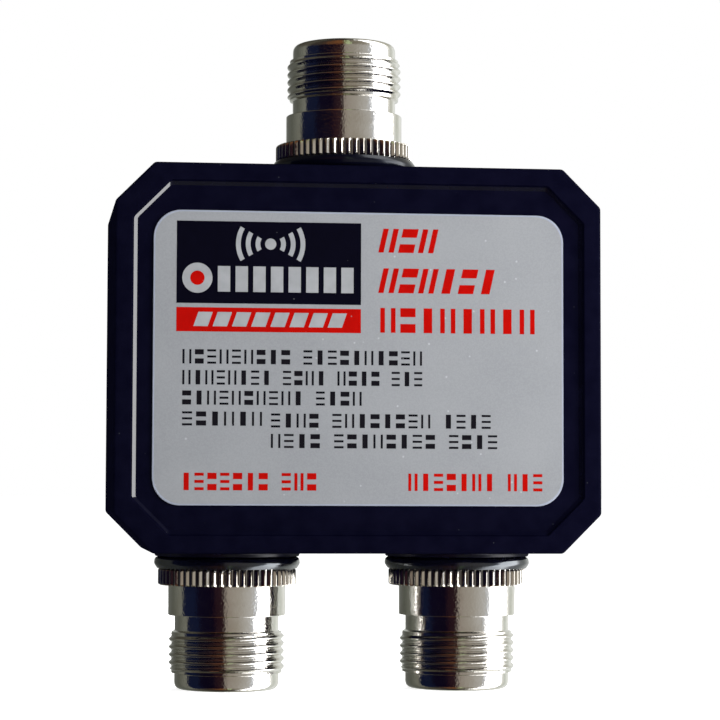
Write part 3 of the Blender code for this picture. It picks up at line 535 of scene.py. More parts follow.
FINISHES = {
    "casting": coat_finish("casting_coat", 0.0024, 0.30),
    # A copy of the coat with a far stronger shine: painted highlight on the slopes that face the light
    "edge": coat_finish("casting_painted_highlight", 0.070, 0.14),
    # A copy of the coat with a middle shine: painted sheen on the bosses and on the slopes that face left
    # or down
    "boss": coat_finish("casting_boss", 0.020, 0.26),
    "label": label_finish(),
    "plate": nickel_finish(),
    "knurl": knurl_finish(),
    "groove": groove_shade_finish(),
    "rubber": rubber_finish("ring_rubber", 1.0),
    # The same rubber with a weaker shine: painted shade on the top ring, which gets less light
    "shaded_rubber": rubber_finish("ring_rubber_painted_shade", 0.3),
    "navy": ink_finish("ink_navy", (0.0028, 0.0026, 0.0092)),
    "red": ink_finish("ink_red", (0.56, 0.004, 0.002)),
    "black": ink_finish("ink_black", (0.010, 0.009, 0.013)),
    "pale": ink_finish("ink_pale", (0.44, 0.45, 0.47)),
}

# Plain finishes: name, two colours, roughness and its spread, metallic, grain and depth of bump
PLAIN_FINISHES = {
    # The label's rim is lighter and bluer than the film: a painted highlight along its edge
    "label_rim_highlight": ("label_rim_highlight", (0.385, 0.42, 0.52), (0.42, 0.455, 0.56), 0.5, 0.05, 0.0, 1500),
    "gold": ("contact_gold", (0.86, 0.62, 0.27), (0.78, 0.54, 0.22), 0.20, 0.06, 1.0, 1400),
    "insulator": ("insulator_white", (0.82, 0.81, 0.78), (0.74, 0.73, 0.69), 0.45, 0.06, 0, 900, 0.00001),
    "black_steel": ("black_steel", (0.030, 0.030, 0.034), (0.05, 0.05, 0.052), 0.34, 0.08, 0.9, 1500),
    "spring_steel": ("spring_steel", (0.45, 0.45, 0.46), (0.36, 0.36, 0.37), 0.36, 0.08, 1.0, 1200),
    "zinc_steel": ("zinc_steel", (0.62, 0.62, 0.60), (0.52, 0.53, 0.50), 0.32, 0.08, 1.0, 1200),
    "board": ("board_laminate", (0.03, 0.17, 0.07), (0.04, 0.21, 0.09), 0.42, 0.08, 0, 2000, 0.00001),
    "tinplate": ("tinplate", (0.66, 0.66, 0.64), (0.55, 0.55, 0.53), 0.28, 0.08, 1.0, 800),
    "copper": ("coil_copper", (0.66, 0.26, 0.12), (0.55, 0.20, 0.09), 0.26, 0.06, 0.9, 1200),
    "tinned": ("tinned_wire", (0.70, 0.70, 0.68), (0.58, 0.58, 0.56), 0.30, 0.08, 1.0, 1200),
    "capacitor": ("capacitor_coat", (0.50, 0.21, 0.05), (0.42, 0.17, 0.04), 0.40, 0.08, 0, 900, 0.00002),
}
for key, values in PLAIN_FINISHES.items():
    FINISHES[key] = mottled(*values)


# Shapes


def new_piece(name, shape, finish, replaces=None, sharp=SHARP_ANGLE):
    """A piece on the one body, from a shape in mm, with smooth rounds and sharp edges."""
    bmesh.ops.recalc_face_normals(shape, faces=shape.faces)
    bmesh.ops.scale(shape, vec=(MM, MM, MM), verts=shape.verts)
    mesh = bpy.data.meshes.new(name)
    shape.to_mesh(mesh)
    shape.free()
    mesh.shade_smooth()
    mesh.set_sharp_from_angle(angle=math.radians(sharp))
    mesh.materials.append(FINISHES[finish].material)
    piece = bpy.data.objects.new(name, mesh)
    bpy.context.scene.collection.objects.link(piece)
    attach(piece, BODY)
    if replaces:
        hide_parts(replaces)
    return piece


def rounded(points, closed=True, steps=4):
    """Points (x, y, radius) turned into an outline with that round at each corner."""
    outline = []
    count = len(points)
    for i, (x, y, radius) in enumerate(points):
        here = Vector((x, y))
        if radius == 0 or (not closed and i in (0, count - 1)):
            outline.append((x, y))
            continue
        before = Vector(points[i - 1][:2]) - here
        after = Vector(points[(i + 1) % count][:2]) - here
        angle = before.angle(after)
        reach = min(radius / math.tan(angle / 2), before.length * 0.49, after.length * 0.49)
        start = here + before.normalized() * reach
        end = here + after.normalized() * reach
        for step in range(steps + 1):
            t = step / steps
            point = start * (1 - t) ** 2 + here * 2 * t * (1 - t) + end * t ** 2
            outline.append((point.x, point.y))
    return outline


def join_rings(shape, rings, wrap=False, around=True):
    """Faces between rows of vertices with like counts."""
    rows = len(rings)
    for i in range(rows if wrap else rows - 1):
        near, far = rings[i], rings[(i + 1) % rows]
        count = len(near)
        for j in range(count if around else count - 1):
            k = (j + 1) % count
            corners = [near[j], near[k], far[k], far[j]]
            unique = list(dict.fromkeys(corners))
            if len(unique) > 2:
                shape.faces.new(unique)


def add_lathe(shape, outline, matrix, sides=ROUND_SIDES):
    """A closed outline of (radius, height) turned round Z, then placed."""
    rings = []
    for radius, height in outline:
        if radius < 1e-6:
            rings.append([shape.verts.new((0, 0, height))] * sides)
            continue
        ring = []
        for i in range(sides):
            angle = 2 * math.pi * i / sides
            ring.append(shape.verts.new((radius * math.cos(angle), radius * math.sin(angle), height)))
        rings.append(ring)
    join_rings(shape, rings, wrap=True)
    verts = list(dict.fromkeys(v for ring in rings for v in ring))
    bmesh.ops.transform(shape, matrix=matrix, verts=verts)


def with_hole(side, radius):
    """The outside of a turned ring, closed along a hole of that radius."""
    return [(radius, side[0][1], 0), *side, (radius, side[-1][1], 0)]


def add_loft(shape, rings):
    """A closed shape through rings of points, capped at both ends."""
    rows = [[shape.verts.new(point) for point in ring] for ring in rings]
    join_rings(shape, rows)
    shape.faces.new(rows[0])
    shape.faces.new(rows[-1])


def add_slab(shape, outline, front_y, back_y):
    """A flat shape in XZ with a thickness along Y, about the middle of the housing."""
    rings = [[(x, y, BODY_MIDDLE_Z + z) for x, z in outline] for y in (front_y, back_y)]
    add_loft(shape, rings)


def cut_with(piece, shape):
    """Cuts a shape in mm out of a piece, at once."""
    bmesh.ops.recalc_face_normals(shape, faces=shape.faces)
    bmesh.ops.scale(shape, vec=(MM, MM, MM), verts=shape.verts)
    mesh = bpy.data.meshes.new("cutter")
    shape.to_mesh(mesh)
    shape.free()
    cutter = bpy.data.objects.new("cutter", mesh)
    bpy.context.scene.collection.objects.link(cutter)
    modifier = piece.modifiers.new("cut", "BOOLEAN")
    modifier.operation = "DIFFERENCE"
    modifier.solver = "EXACT"
    modifier.object = cutter
    graph = bpy.context.evaluated_depsgraph_get()
    done = bpy.data.meshes.new_from_object(piece.evaluated_get(graph))
    piece.modifiers.clear()
    old = piece.data
    piece.data = done
    bpy.data.meshes.remove(old)
    bpy.data.objects.remove(cutter)
    done.shade_smooth()
    done.set_sharp_from_angle(angle=math.radians(SHARP_ANGLE))


def jack_matrix(across, side):
    """From a jack's own frame, Z outward from the wall, to the part's frame in mm."""
    wall_z = BODY_MIDDLE_Z + side * BODY_HALF[1]
    turn = Matrix.Rotation(0 if side > 0 else math.pi, 4, "Y")
    return Matrix.Translation((across, JACK_AXIS_Y, wall_z)) @ turn


def to_back(x, z):
    """Local Z to +Y, for posts and screws, about the middle of the housing."""
    return Matrix.Translation((x, 0, BODY_MIDDLE_Z + z)) @ Matrix.Rotation(-math.pi / 2, 4, "X")


def eight_sided(inset, corner, y):
    """The housing's outline set in by so much, with its corners cut and softened."""
    x, z = BODY_HALF[0] - inset, BODY_HALF[1] - inset
    c = corner
    points = [(-x, z - c), (-x + c, z), (x - c, z), (x, z - c)]
    points += [(x, -z + c), (x - c, -z), (-x + c, -z), (-x, -z + c)]
    outline = rounded([(px, pz, CORNER_ROUND) for px, pz in points])
    return [(px, y, BODY_MIDDLE_Z + pz) for px, pz in outline]


def corner_at(inset):
    """The cut corner's size: even along the outer edge, then the panel's own."""
    if inset <= EDGE_ROUND:
        return BODY_CORNER - inset * CORNER_LOSS
    edge = BODY_CORNER - EDGE_ROUND * CORNER_LOSS
    share = min(1, (inset - EDGE_ROUND) / (PANEL_IN - PANEL_CORNER_LEAD - EDGE_ROUND))
    slope = max(0, inset - PANEL_IN)
    return edge + (PANEL_CORNER - edge) * share - slope * (2 - SLOPE_AT_CORNER * math.sqrt(2))


# Housing and cover


def make_casting():
    """The housing with a soft front edge, sunken panel, bosses, posts and standoffs."""
    shape = bmesh.new()
    flat = PANEL_IN + PANEL_SLOPE
    side = rounded(
        [
            (0, RIM_BACK_Y, 0),
            (0, FRONT_Y, EDGE_ROUND),
            (PANEL_IN, FRONT_Y, 0.10),
            (*PANEL_STEP, 0.05),
            (flat, PANEL_Y, 0.08),
            (flat + 1.2, PANEL_Y, 0),
        ],
        closed=False,
        steps=5,
    )
    inner = BODY_CORNER - WALL * CORNER_LOSS
    rings = [eight_sided(WALL, inner, FRONT_INSIDE_Y), eight_sided(WALL, inner, RIM_BACK_Y)]
    rings += [eight_sided(inset, corner_at(inset), y) for inset, y in side]
    add_loft(shape, rings)

    for _, across, side_sign in JACKS:
        add_lathe(shape, rounded(with_hole(BOSS_SIDE, BOSS_HOLE)), jack_matrix(across, side_sign))

    post = post_outline(RIM_BACK_Y, POST_HOLE, POST_HOLE_FLOOR_Y)
    standoff = post_outline(STANDOFF_TOP_Y, STANDOFF_HOLE, FRONT_INSIDE_Y)
    for x_sign, z_sign in QUARTERS:
        place = to_back(x_sign * POST_PLACE[0], z_sign * POST_PLACE[1])
        add_lathe(shape, post, place, POST_SIDES)
        place = to_back(x_sign * STANDOFF_PLACE[0], z_sign * STANDOFF_PLACE[1])
        add_lathe(shape, standoff, place, POST_SIDES)
    casting = new_piece("housing_casting", shape, "casting", "housing")
    for finish in ("edge", "boss"):
        casting.data.materials.append(FINISHES[finish].material)
    for face in casting.data.polygons:
        face.material_index = casting_material(face)


def post_outline(top_y, hole, floor_y):
    """A post that stands in the housing, with a blind hole in its end."""
    wall = [(POST_RADIUS, POST_ROOT_Y), (POST_RADIUS, top_y)]
    bore = [(hole, top_y), (hole, floor_y), (0, floor_y)]
    return wall + bore + [(0, POST_ROOT_Y)]


def casting_material(face):
    """1, a painted highlight, where the panel's slope faces right toward the light; 2, a middle painted
    sheen, where it faces left or down and on the bosses.
    """
    x = abs(face.center.x / MM)
    z = abs(face.center.z / MM - BODY_MIDDLE_Z)
    corner = (sum(BODY_HALF) - BODY_CORNER - x - z) / math.sqrt(2)
    inset = min(BODY_HALF[0] - x, BODY_HALF[1] - z, corner)
    deep = PANEL_STEP[1] - 0.02 < face.center.y / MM < PANEL_Y - 0.01
    if inset > SLOPE_LEAST_INSET and deep and face.normal.z < 0.2:
        return 1 if face.normal.x > 0.3 else 2
    if z > BODY_HALF[1] + 0.05:
        return 2
    return 0


def make_cover():
    """The back plate with a soft edge, two ribs and four countersunk holes."""
    shape = bmesh.new()
    side = rounded(
        [(0, COVER_FRONT_Y, 0), (0, BACK_Y, COVER_ROUND), (COVER_LAST_INSET, BACK_Y, 0)],
        closed=False,
        steps=5,
    )
    add_loft(shape, [eight_sided(inset, BODY_CORNER - inset * CORNER_LOSS, y) for inset, y in side])
    cover = new_piece("cover_plate", shape, "casting", "back_cover")
    shape = bmesh.new()
    hole = [
        (0, COVER_HOLE_START_Y),
        (COVER_HOLE, COVER_HOLE_START_Y),
        (COVER_HOLE, COVER_SINK_START_Y),
        (COVER_SINK, BACK_Y),
        (COVER_SINK, BACK_Y + 1),
        (0, BACK_Y + 1),
    ]
    for x_sign, z_sign in QUARTERS:
        place = to_back(x_sign * POST_PLACE[0], z_sign * POST_PLACE[1])
        add_lathe(shape, hole, place, SMALL_SIDES)
    cut_with(cover, shape)
    shape = bmesh.new()
    near, far = COVER_RIB_X
    low, high = -COVER_RIB_HALF, COVER_RIB_HALF
    for x_sign in (-1, 1):
        outline = [(x_sign * x, z) for x, z in ((near, low), (far, low), (far, high), (near, high))]
        add_slab(shape, outline, *COVER_RIB_Y)
    new_piece("cover_ribs", shape, "casting")


def make_cover_screws():
    """Countersunk screws with a cross recess and a soft rim."""
    outline = rounded(SCREW_SIDE)
    for corner, x_sign, z_sign in SCREW_CORNERS:
        shape = bmesh.new()
        place = to_back(x_sign * POST_PLACE[0], z_sign * POST_PLACE[1])
        place = Matrix.Translation((0, BACK_Y, 0)) @ place
        add_lathe(shape, outline, place, SMALL_SIDES)
        name = "cover_screw_" + corner
        screw = new_piece(name + "_head", shape, "black_steel", name)
        turn = random.Random(corner).uniform(0, math.pi / 2)
        for quarter in (0, math.pi / 2):
            spin = Matrix.Rotation(turn + quarter, 4, "Z")
            rings = []
            for length, width, height in CROSS_LEVELS:
                flat = [(-length, -width), (length, -width), (length, width), (-length, width)]
                rings.append([place @ spin @ Vector((x, y, height)) for x, y in flat])
            slot = bmesh.new()
            add_loft(slot, rings)
            cut_with(screw, slot)


# Jacks


def shell_outline():
    """The turned body of a jack, from its mouth down the outside and up the bore."""
    root = THREAD_CREST - THREAD_DEPTH
    flange_top = FLANGE_TOP - FLANGE_SINK
    flange_base = FLANGE_BASE + FLANGE_SINK
    return rounded(
        [
            (MOUTH_RADIUS + MOUTH_CHAMFER, JACK_REACH, 0.06),
            (NOSE_RADIUS, JACK_REACH, NOSE_ROUND),
            (NOSE_RADIUS, THREAD_END + 0.07, 0.08),
            (root, THREAD_END - 0.05, 0),
            (root, THREAD_START + 0.05, 0),
            (NOSE_RADIUS, THREAD_START - 0.15, 0.1),
            (NOSE_RADIUS, BARREL_END, 0.12),
            (BARREL_RADIUS, BARREL_END, 0.14),
            (BARREL_RADIUS, flange_top, 0.06),
            (FLANGE_BODY_RADIUS, flange_top, 0),
            (FLANGE_BODY_RADIUS, flange_base, 0),
            (SHANK_RADIUS, flange_base, 0),
            (SHANK_RADIUS, SHANK_END + SHANK_CHAMFER, 0.05),
            (SHANK_RADIUS - SHANK_CHAMFER, SHANK_END, 0.05),
            (SHANK_HOLE, SHANK_END, 0),
            (SHANK_HOLE, MOUTH_FLOOR, 0),
            (MOUTH_RADIUS, MOUTH_FLOOR, 0),
            (MOUTH_RADIUS, JACK_REACH - MOUTH_CHAMFER, 0.1),
        ],
        steps=5,
    )


def add_thread(shape, matrix):
    """A right-hand thread whose rows of vertices follow the helix, faded out at both ends."""
    root = THREAD_CREST - THREAD_DEPTH - THREAD_WEAR
    turns = int((THREAD_END - THREAD_START) / THREAD_PITCH) + 2
    columns = []
    for i in range(ROUND_SIDES + 1):
        angle = 2 * math.pi * i / ROUND_SIDES
        column = []
        for row in range(turns * THREAD_ROWS + 1):
            phase = row / THREAD_ROWS
            height = THREAD_START + (phase + i / ROUND_SIDES - 1) * THREAD_PITCH
            height = min(max(height, THREAD_START), THREAD_END)
            radius = root + THREAD_DEPTH * (0.5 + 0.5 * math.cos(2 * math.pi * phase))
            fade_in = (height - THREAD_START) * THREAD_FADE_IN
            fade_out = (THREAD_END - height) * THREAD_FADE_OUT
            radius = min(radius, THREAD_FADE_RADIUS + min(fade_in, fade_out))
            point = (radius * math.cos(angle), radius * math.sin(angle), height)
            column.append(shape.verts.new(point))
        columns.append(column)
    join_rings(shape, columns, around=False)
    verts = [v for column in columns for v in column]
    bmesh.ops.transform(shape, matrix=matrix, verts=verts)
    bmesh.ops.remove_doubles(shape, verts=verts, dist=0.0005)


def add_tooth(shape, number, matrix):
    """One V-shaped knurl tooth with a worn crest and softened ends, its foot in the groove's floor."""
    section = [(-share, radius, worn) for share, radius, worn in TOOTH_SIDE]
    section += [(0, FLANGE_RADIUS, 1)]
    section += TOOTH_SIDE[::-1]
    foot = TOOTH_SIDE[0][1]
    rows = []
    for wear, height in TOOTH_LEVELS:
        row = []
        for share, radius, worn in section:
            angle = 2 * math.pi * (number + share) / TEETH
            radius = max(radius - wear * worn, foot)
            row.append(matrix @ Vector((radius * math.cos(angle), radius * math.sin(angle), height)))
        rows.append(row)
    add_loft(shape, rows)


def make_knurl(name, matrix):
    """The knurled flange: a turned core, and teeth whose feet are darkened as painted shade."""
    shape = bmesh.new()
    for number in range(TEETH):
        add_tooth(shape, number, matrix)
    knurl = new_piece(name + "_knurl", shape, "knurl", sharp=KNURL_SHARP_ANGLE)
    knurl.data.materials.append(FINISHES["groove"].material)
    # Faces near the groove's floor take the dark finish: painted shade between the teeth
    for face in knurl.data.polygons:
        middle = face.center / MM - matrix.translation
        if math.hypot(middle.x, middle.y) < GROOVE_RADIUS + GROOVE_SHADE_HEIGHT:
            face.material_index = 1
    shape = bmesh.new()
    core_top = FLANGE_TOP - FLANGE_SINK
    outline = [
        (FLANGE_HOLE, FLANGE_BASE),
        (GROOVE_RADIUS, FLANGE_BASE),
        (GROOVE_RADIUS, core_top),
        (FLANGE_HOLE, core_top),
    ]
    add_lathe(shape, outline, matrix)
    new_piece(name + "_knurl_core", shape, "plate")


def make_jack(name, across, side):
    """One jack, with its sealing ring, insulating sleeve and contact."""
    matrix = jack_matrix(across, side)
    shape = bmesh.new()
    add_lathe(shape, shell_outline(), matrix)
    add_thread(shape, matrix)
    new_piece(name + "_jack_body", shape, "plate", name + "_jack_shell")
    make_knurl(name, matrix)

    shape = bmesh.new()
    add_lathe(shape, rounded(with_hole(SEAL_SIDE, SEAL_HOLE), steps=7), matrix)
    # The top ring takes the weaker shine, painted shade
    rubber = "shaded_rubber" if side > 0 else "rubber"
    new_piece(name + "_seal", shape, rubber, name + "_sealing_ring")

    shape = bmesh.new()
    sleeve = rounded(
        [
            (SLEEVE_SEAT, SLEEVE_FRONT, 0.08),
            (SLEEVE_RADIUS, SLEEVE_FRONT, 0.12),
            (SLEEVE_RADIUS, SHANK_END, 0),
            (SLEEVE_HOLE, SHANK_END, 0),
            (SLEEVE_HOLE, SLEEVE_SEAT_FLOOR, 0),
            (SLEEVE_SEAT, SLEEVE_SEAT_FLOOR, 0),
        ]
    )
    add_lathe(shape, sleeve, matrix, SLEEVE_SIDES)
    new_piece(name + "_sleeve", shape, "insulator", name + "_insulator")
    make_contact(name, matrix)


def make_contact(name, matrix):
    """The socket: a solid root, four springy fingers, a stem and a solder cup."""
    shape = bmesh.new()
    pin = rounded(
        [
            (0, SOCKET_FLOOR, 0),
            (SOCKET_HOLE, SOCKET_FLOOR, 0),
            (SOCKET_HOLE, FINGER_START, 0),
            (SOCKET_RADIUS, FINGER_START, 0),
            (SOCKET_RADIUS, SOCKET_BACK, 0.05),
            (STEM_RADIUS, SOCKET_BACK, 0),
            (STEM_RADIUS, CUP_BACK, 0),
            (CUP_RADIUS, CUP_BACK, 0.05),
            (CUP_RADIUS, CUP_FRONT, 0.06),
            (CUP_HOLE, CUP_FRONT, 0.06),
            (CUP_HOLE, CUP_HOLE_FLOOR, 0),
            (0, CUP_HOLE_FLOOR, 0),
        ]
    )
    add_lathe(shape, pin, matrix, SMALL_SIDES)
    section = rounded(
        [
            (SOCKET_HOLE, FINGER_START - FINGER_OVERLAP, 0),
            (SOCKET_RADIUS, FINGER_START - FINGER_OVERLAP, 0),
            (SOCKET_RADIUS - FINGER_LEAN, SOCKET_FRONT, 0.18),
            (SOCKET_HOLE - FINGER_LEAN, SOCKET_FRONT, 0.18),
        ]
    )
    half_slit = SLIT_WIDTH / 2 / SLIT_RADIUS
    for quarter in range(4):
        start = quarter * math.pi / 2 + half_slit + SLIT_TURN
        end = (quarter + 1) * math.pi / 2 - half_slit + SLIT_TURN
        rows = []
        for i in range(FINGER_STEPS + 1):
            angle = start + (end - start) * i / FINGER_STEPS
            points = [(r * math.cos(angle), r * math.sin(angle), z) for r, z in section]
            rows.append([matrix @ Vector(point) for point in points])
        add_loft(shape, rows)
    new_piece(name + "_socket", shape, "gold", name + "_centre_contact")


# Label


def make_film():
    """The label's film, with round corners and a soft front edge."""
    x, z = LABEL_HALF
    outline = []
    for x_sign, z_sign, first in ((1, 1, 0), (-1, 1, 90), (-1, -1, 180), (1, -1, 270)):
        for step in range(LABEL_CORNER_STEPS + 1):
            angle = math.radians(first + 90 / LABEL_CORNER_STEPS * step)
            px = x_sign * (x - LABEL_CORNER) + LABEL_CORNER * math.cos(angle)
            pz = z_sign * (z - LABEL_CORNER) + LABEL_CORNER * math.sin(angle)
            outline.append((px, pz))
    shape = bmesh.new()
    rings = []
    levels = (
        (0, LABEL_BACK_Y),
        (0, LABEL_FRONT_Y + LABEL_ROUND),
        (LABEL_ROUND, LABEL_FRONT_Y),
        (LABEL_RIM, LABEL_FRONT_Y),
    )
    for shrink, y in levels:
        narrow, short = 1 - shrink / x, 1 - shrink / z
        rings.append([(px * narrow, y, BODY_MIDDLE_Z + pz * short) for px, pz in outline])
    add_loft(shape, rings)
    film = new_piece("label_sheet", shape, "label", "front_label")
    # The rim and the film's sides take the lighter colour, a painted highlight
    film.data.materials.append(FINISHES["label_rim_highlight"].material)
    for face in film.data.polygons:
        if len(face.vertices) == 4:
            face.material_index = 1


def bar(left, right, low, high, slant=0.0, base=None):
    """A plain four-sided outline, which leans to the right above its base line."""
    base = low if base is None else base
    foot, head = slant * (low - base), slant * (high - base)
    return [(left + foot, low), (right + foot, low), (right + head, high), (left + head, high)]


def mark(kind, x, width, low, high, pen):
    """One plain mark of a printed row: up to three bars, as (left, right, low, high)."""
    right = x + width
    middle = (low + high) / 2
    part = (high - low) * SPLIT_HEIGHT
    return {
        "block": [(x + width * BLOCK_INSET, right - width * BLOCK_INSET, low, high)],
        "pair": [(x, x + pen, low, high), (right - pen, right, low, high)],
        "split": [(x, right, low, low + part), (x, right, high - part, high)],
        "rows": [(x, right, z - pen / 2, z + pen / 2) for z in (low + pen / 2, middle, high - pen / 2)],
    }[kind]


def row_of_marks(left, right, low, high, words, seed, pen, slant=0.0, fill=0.72, kinds=MARKS):
    """Plain marks in groups, which fill a row from left to right in the rhythm of print."""
    draw = random.Random(seed)
    cells = sum(words) + GROUP_GAP * (len(words) - 1)
    step = (right - left - slant * (high - low) + (1 - fill)) / cells
    outlines = []
    x = left
    last = None
    for word in words:
        for _ in range(word):
            last = draw.choice([kind for kind in kinds if kind != last])
            for piece in mark(last, x, step * fill, low, high, pen):
                outlines.append(bar(*piece, slant, low))
            x += step
        x += step * GROUP_GAP
    return outlines


def ring_part(middle, near, far, first, last, steps=20):
    """An arc-shaped band between two radii, with its angles in degrees."""
    outer, inner = [], []
    for i in range(steps + 1):
        angle = math.radians(first + (last - first) * i / steps)
        across, up = math.cos(angle), math.sin(angle)
        outer.append((middle[0] + far * across, middle[1] + far * up))
        inner.append((middle[0] + near * across, middle[1] + near * up))
    return outer + inner[::-1]


def disc(middle, radius, steps=40):
    """A round outline."""
    outline = []
    for i in range(steps):
        angle = 2 * math.pi * i / steps
        outline.append((middle[0] + radius * math.cos(angle), middle[1] + radius * math.sin(angle)))
    return outline


def print_layer(name, outlines, finish, layer):
    """One ink: flat outlines a hair's breadth above the film, or above the ink below it."""
    shape = bmesh.new()
    front = LABEL_FRONT_Y - INK * (layer + 1)
    for outline in outlines:
        add_slab(shape, outline, front, LABEL_FRONT_Y + INK_FOOT)
    new_piece(name, shape, finish)


def make_print():
    """Fields of colour and plain shapes where the real label is printed."""
    print_layer("print_navy", [bar(*NAVY_FIELD)], "navy", 0)

    red = [bar(*RED_FIELD)]
    for row in RED_ROWS:
        red += row_of_marks(*row)
    print_layer("print_red", red, "red", 0)

    black = []
    for row in BLACK_ROWS:
        black += row_of_marks(*row)
    print_layer("print_black", black, "black", 0)

    pale = [disc(WAVE_MIDDLE, WAVE_DOT), disc(DISC_MIDDLE, DISC_RADIUS)]
    for radius in WAVE_RADII:
        inner, outer = radius - WAVE_HALF_WIDTH, radius + WAVE_HALF_WIDTH
        for way in (0, 180):
            first, last = way - WAVE_HALF_ANGLE, way + WAVE_HALF_ANGLE
            pale.append(ring_part(WAVE_MIDDLE, inner, outer, first, last))
    for left, step, width, low, high, slant in PALE_BARS:
        for i in range(8):
            start = left + step * i
            pale.append(bar(start, start + width, low, high, slant))
    print_layer("print_pale", pale, "pale", 1)
    print_layer("print_dot", [disc(DISC_MIDDLE, DISC_DOT)], "red", 2)


# Kept solids


def finish_kept_nodes():
    """Looks for the solids that stay as they are."""
    for name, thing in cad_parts.items():
        for part, finish in KEPT_FINISHES.items():
            if part in name:
                for slot in thing.material_slots:
                    slot.material = FINISHES[finish].material


# Camera, floor and light


def make_camera():
    """The photograph's camera."""
    camera = bpy.data.objects.new("camera", bpy.data.cameras.new("camera"))
    bpy.context.scene.collection.objects.link(camera)
    az, el, roll = (math.radians(a) for a in (CAMERA_AZIMUTH, CAMERA_ELEVATION, CAMERA_ROLL))
    ahead = -Vector((math.sin(az) * math.cos(el), -math.cos(az) * math.cos(el), math.sin(el)))
    right = ahead.cross(Vector((0, 0, 1))).normalized()
    up = right.cross(ahead)
    across = right * math.cos(roll) + up * math.sin(roll)
    upward = up * math.cos(roll) - right * math.sin(roll)
    turn = Matrix((across, upward, -ahead)).transposed().to_4x4()
    camera.matrix_world = Matrix.Translation(CAMERA_PLACE) @ turn
    camera.data.sensor_fit = "HORIZONTAL"
    camera.data.sensor_width = CAMERA_SENSOR
    camera.data.lens = CAMERA_LENS
    camera.data.shift_x, camera.data.shift_y = CAMERA_SHIFT
    camera.data.clip_start = 0.01
    camera.data.clip_end = 100
    bpy.context.scene.camera = camera


def make_floor():
    """White to the camera, plain to light, and absent from mirrors."""
    shape = bmesh.new()
    bmesh.ops.create_grid(shape, x_segments=2, y_segments=2, size=FLOOR_HALF)
    mesh = bpy.data.meshes.new("floor")
    shape.to_mesh(mesh)
    shape.free()
    floor = bpy.data.objects.new("floor", mesh)
    bpy.context.scene.collection.objects.link(floor)
    material = bpy.data.materials.new("floor_white")
    material.use_nodes = True
    material.node_tree.nodes.clear()
    nodes = Nodes(material.node_tree)
    plain = nodes.node("ShaderNodeBsdfDiffuse", {"Color": FLOOR_COLOUR})
    glow = nodes.node("ShaderNodeEmission", {"Strength": FLOOR_GLOW})
    lit = nodes.node("ShaderNodeAddShader")
    nodes.link(plain.outputs[0], lit.inputs[0])
    nodes.link(glow.outputs[0], lit.inputs[1])
    clear = nodes.node("ShaderNodeBsdfTransparent")
    path = nodes.node("ShaderNodeLightPath").outputs
    look = nodes.mix_shaders(path["Is Camera Ray"], plain, lit)
    look = nodes.mix_shaders(path["Is Glossy Ray"], look, clear)
    output = nodes.node("ShaderNodeOutputMaterial")
    nodes.link(look.outputs[0], output.inputs["Surface"])
    mesh.materials.append(material)


# Studio as a mirror sees it near the horizon: direction in degrees from the front, and light
STUDIO = (
    (-180, (0.50, 0.52, 0.48)),
    (-165, (0.13, 0.135, 0.12)),
    (-135, (0.10, 0.105, 0.085)),
    (-112, (0.17, 0.175, 0.145)),
    (-103, (0.20, 0.20, 0.165)),
    (-100, (0.007, 0.010, 0.032)),
    (-68, (0.006, 0.009, 0.028)),
    (-65, (0.004, 0.003, 0.012)),
    (-32, (0.004, 0.002, 0.009)),
    (-27, (0.018, 0.007, 0.012)),
    (-10, (0.026, 0.011, 0.014)),
    (-6, (0.30, 0.26, 0.22)),
    (20, (0.37, 0.34, 0.29)),
    (48, (0.52, 0.51, 0.48)),
    (58, (0.62, 0.66, 0.72)),
    (65, (6.0, 6.0, 6.0)),
    (100, (6.0, 6.0, 6.0)),
    (110, (1.0, 1.0, 0.97)),
    (124, (0.62, 0.65, 0.58)),
    (146, (0.92, 0.94, 0.90)),
    (180, (0.50, 0.52, 0.48)),
)
# The same well above or below the horizon
STUDIO_HIGH = (
    (-180, (0.050, 0.046, 0.034)),
    (-150, (0.060, 0.056, 0.042)),
    (-100, (0.085, 0.080, 0.060)),
    (-90, (0.045, 0.038, 0.030)),
    (-60, (0.045, 0.032, 0.024)),
    (-45, (0.11, 0.050, 0.024)),
    (-20, (0.19, 0.075, 0.027)),
    (-8, (0.14, 0.065, 0.032)),
    (-4, (0.13, 0.11, 0.06)),
    (-1, (0.48, 0.58, 0.31)),
    (8, (0.48, 0.56, 0.32)),
    (12, (0.17, 0.15, 0.11)),
    (45, (0.28, 0.25, 0.20)),
    (60, (0.55, 0.55, 0.50)),
    (68, (3.5, 3.5, 3.5)),
    (102, (3.5, 3.5, 3.5)),
    (116, (0.60, 0.60, 0.52)),
    (150, (0.46, 0.45, 0.38)),
    (163, (0.34, 0.33, 0.26)),
    (172, (0.10, 0.092, 0.066)),
    (180, (0.050, 0.046, 0.034)),
)
# Heights of a ray at which the second table takes over, above and below, and the poles begin
STUDIO_ABOVE = (0.28, 0.50)
STUDIO_BELOW = (0.66, 0.84)
STUDIO_POLES = (0.92, 0.99)
STUDIO_POLE_COLOUR = (0.032, 0.025, 0.022)


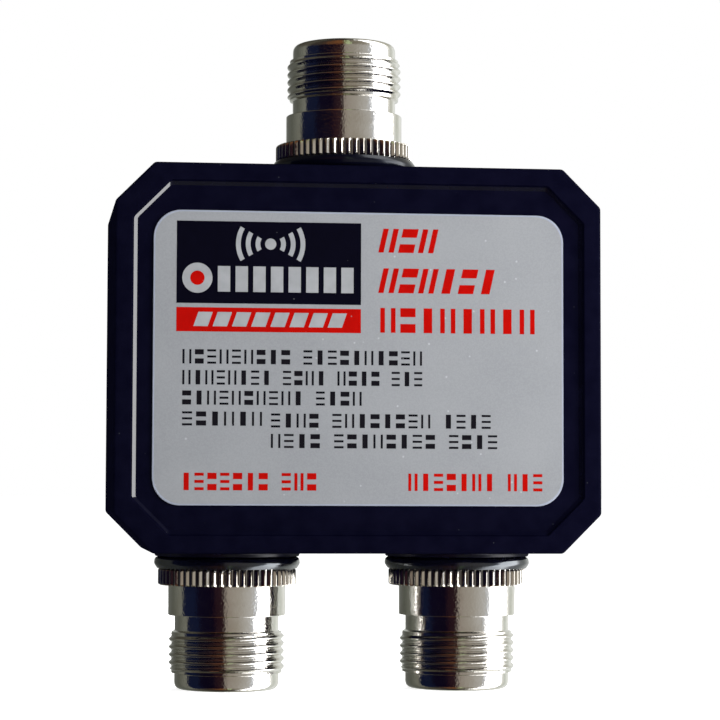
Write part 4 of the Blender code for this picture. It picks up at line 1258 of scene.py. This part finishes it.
def make_world():
    """White to the camera, strips of light to a mirror, and a soft dome to all else."""
    world = bpy.data.worlds.new("studio")
    bpy.context.scene.world = world
    world.use_nodes = True
    world.node_tree.nodes.clear()
    nodes = Nodes(world.node_tree)
    place = nodes.node("ShaderNodeTexCoord").outputs["Generated"]
    split = nodes.node("ShaderNodeSeparateXYZ")
    nodes.link(place, split.inputs[0])
    x, y, z = split.outputs
    azimuth = nodes.math("ARCTAN2", x, nodes.math("MULTIPLY", y, -1))
    share = nodes.math("MULTIPLY_ADD", azimuth, 1 / (2 * math.pi), 0.5)
    peak = max(max(colour) for _, colour in STUDIO)

    def fade(value, start, end):
        limits = {"From Min": start, "From Max": end}
        made = nodes.node("ShaderNodeMapRange", limits, interpolation_type="SMOOTHSTEP")
        nodes.link(value, made.inputs["Value"])
        return made.outputs["Result"]

    def ramp(table):
        made = nodes.node("ShaderNodeValToRGB")
        nodes.link(share, made.inputs[0])
        stops = made.color_ramp.elements
        for number, (angle, colour) in enumerate(table):
            along = (angle + 180) / 360
            stop = stops[number] if number < 2 else stops.new(along)
            stop.position = along
            stop.color = (*(c / peak for c in colour), 1)
        return made.outputs["Color"]

    above = fade(z, *STUDIO_ABOVE)
    below = fade(nodes.math("MULTIPLY", z, -1), *STUDIO_BELOW)
    mirror = nodes.mix(nodes.math("MAXIMUM", above, below), ramp(STUDIO), ramp(STUDIO_HIGH))
    pole = fade(nodes.math("ABSOLUTE", z), *STUDIO_POLES)
    mirror = nodes.mix(pole, mirror, tuple(c / peak for c in STUDIO_POLE_COLOUR))
    strips = nodes.node("ShaderNodeBackground", {"Strength": peak})
    nodes.link(mirror, strips.inputs["Color"])
    dome = nodes.node("ShaderNodeBackground", {"Color": DOME_COLOUR})
    nodes.link(nodes.math("MULTIPLY_ADD", x, DOME_TILT, DOME_STRENGTH), dome.inputs["Strength"])
    white = nodes.node("ShaderNodeBackground", {"Color": (1, 1, 1, 1)})

    path = nodes.node("ShaderNodeLightPath").outputs
    light = nodes.mix_shaders(path["Is Glossy Ray"], dome, strips)
    light = nodes.mix_shaders(path["Is Camera Ray"], light, white)
    output = nodes.node("ShaderNodeOutputWorld")
    nodes.link(light.outputs[0], output.inputs["Surface"])


def make_light(name, place, size, energy):
    """A large soft light aimed at the housing, which mirrors don't show."""
    light = bpy.data.lights.new(name, "AREA")
    light.size = size
    light.energy = energy
    lamp = bpy.data.objects.new(name, light)
    bpy.context.scene.collection.objects.link(lamp)
    lamp.location = place
    aim = Vector((0, 0, BODY_MIDDLE_Z * MM)) - lamp.location
    lamp.rotation_euler = aim.to_track_quat("-Z", "Y").to_euler()
    lamp.visible_glossy = False
    lamp.visible_camera = False


make_camera()
make_world()
for light in LIGHTS:
    make_light(*light)
make_floor()
make_casting()
make_cover()
make_cover_screws()
for jack in JACKS:
    make_jack(*jack)
make_film()
make_print()
finish_kept_nodes()
bpy.context.scene.view_settings.view_transform = "Standard"
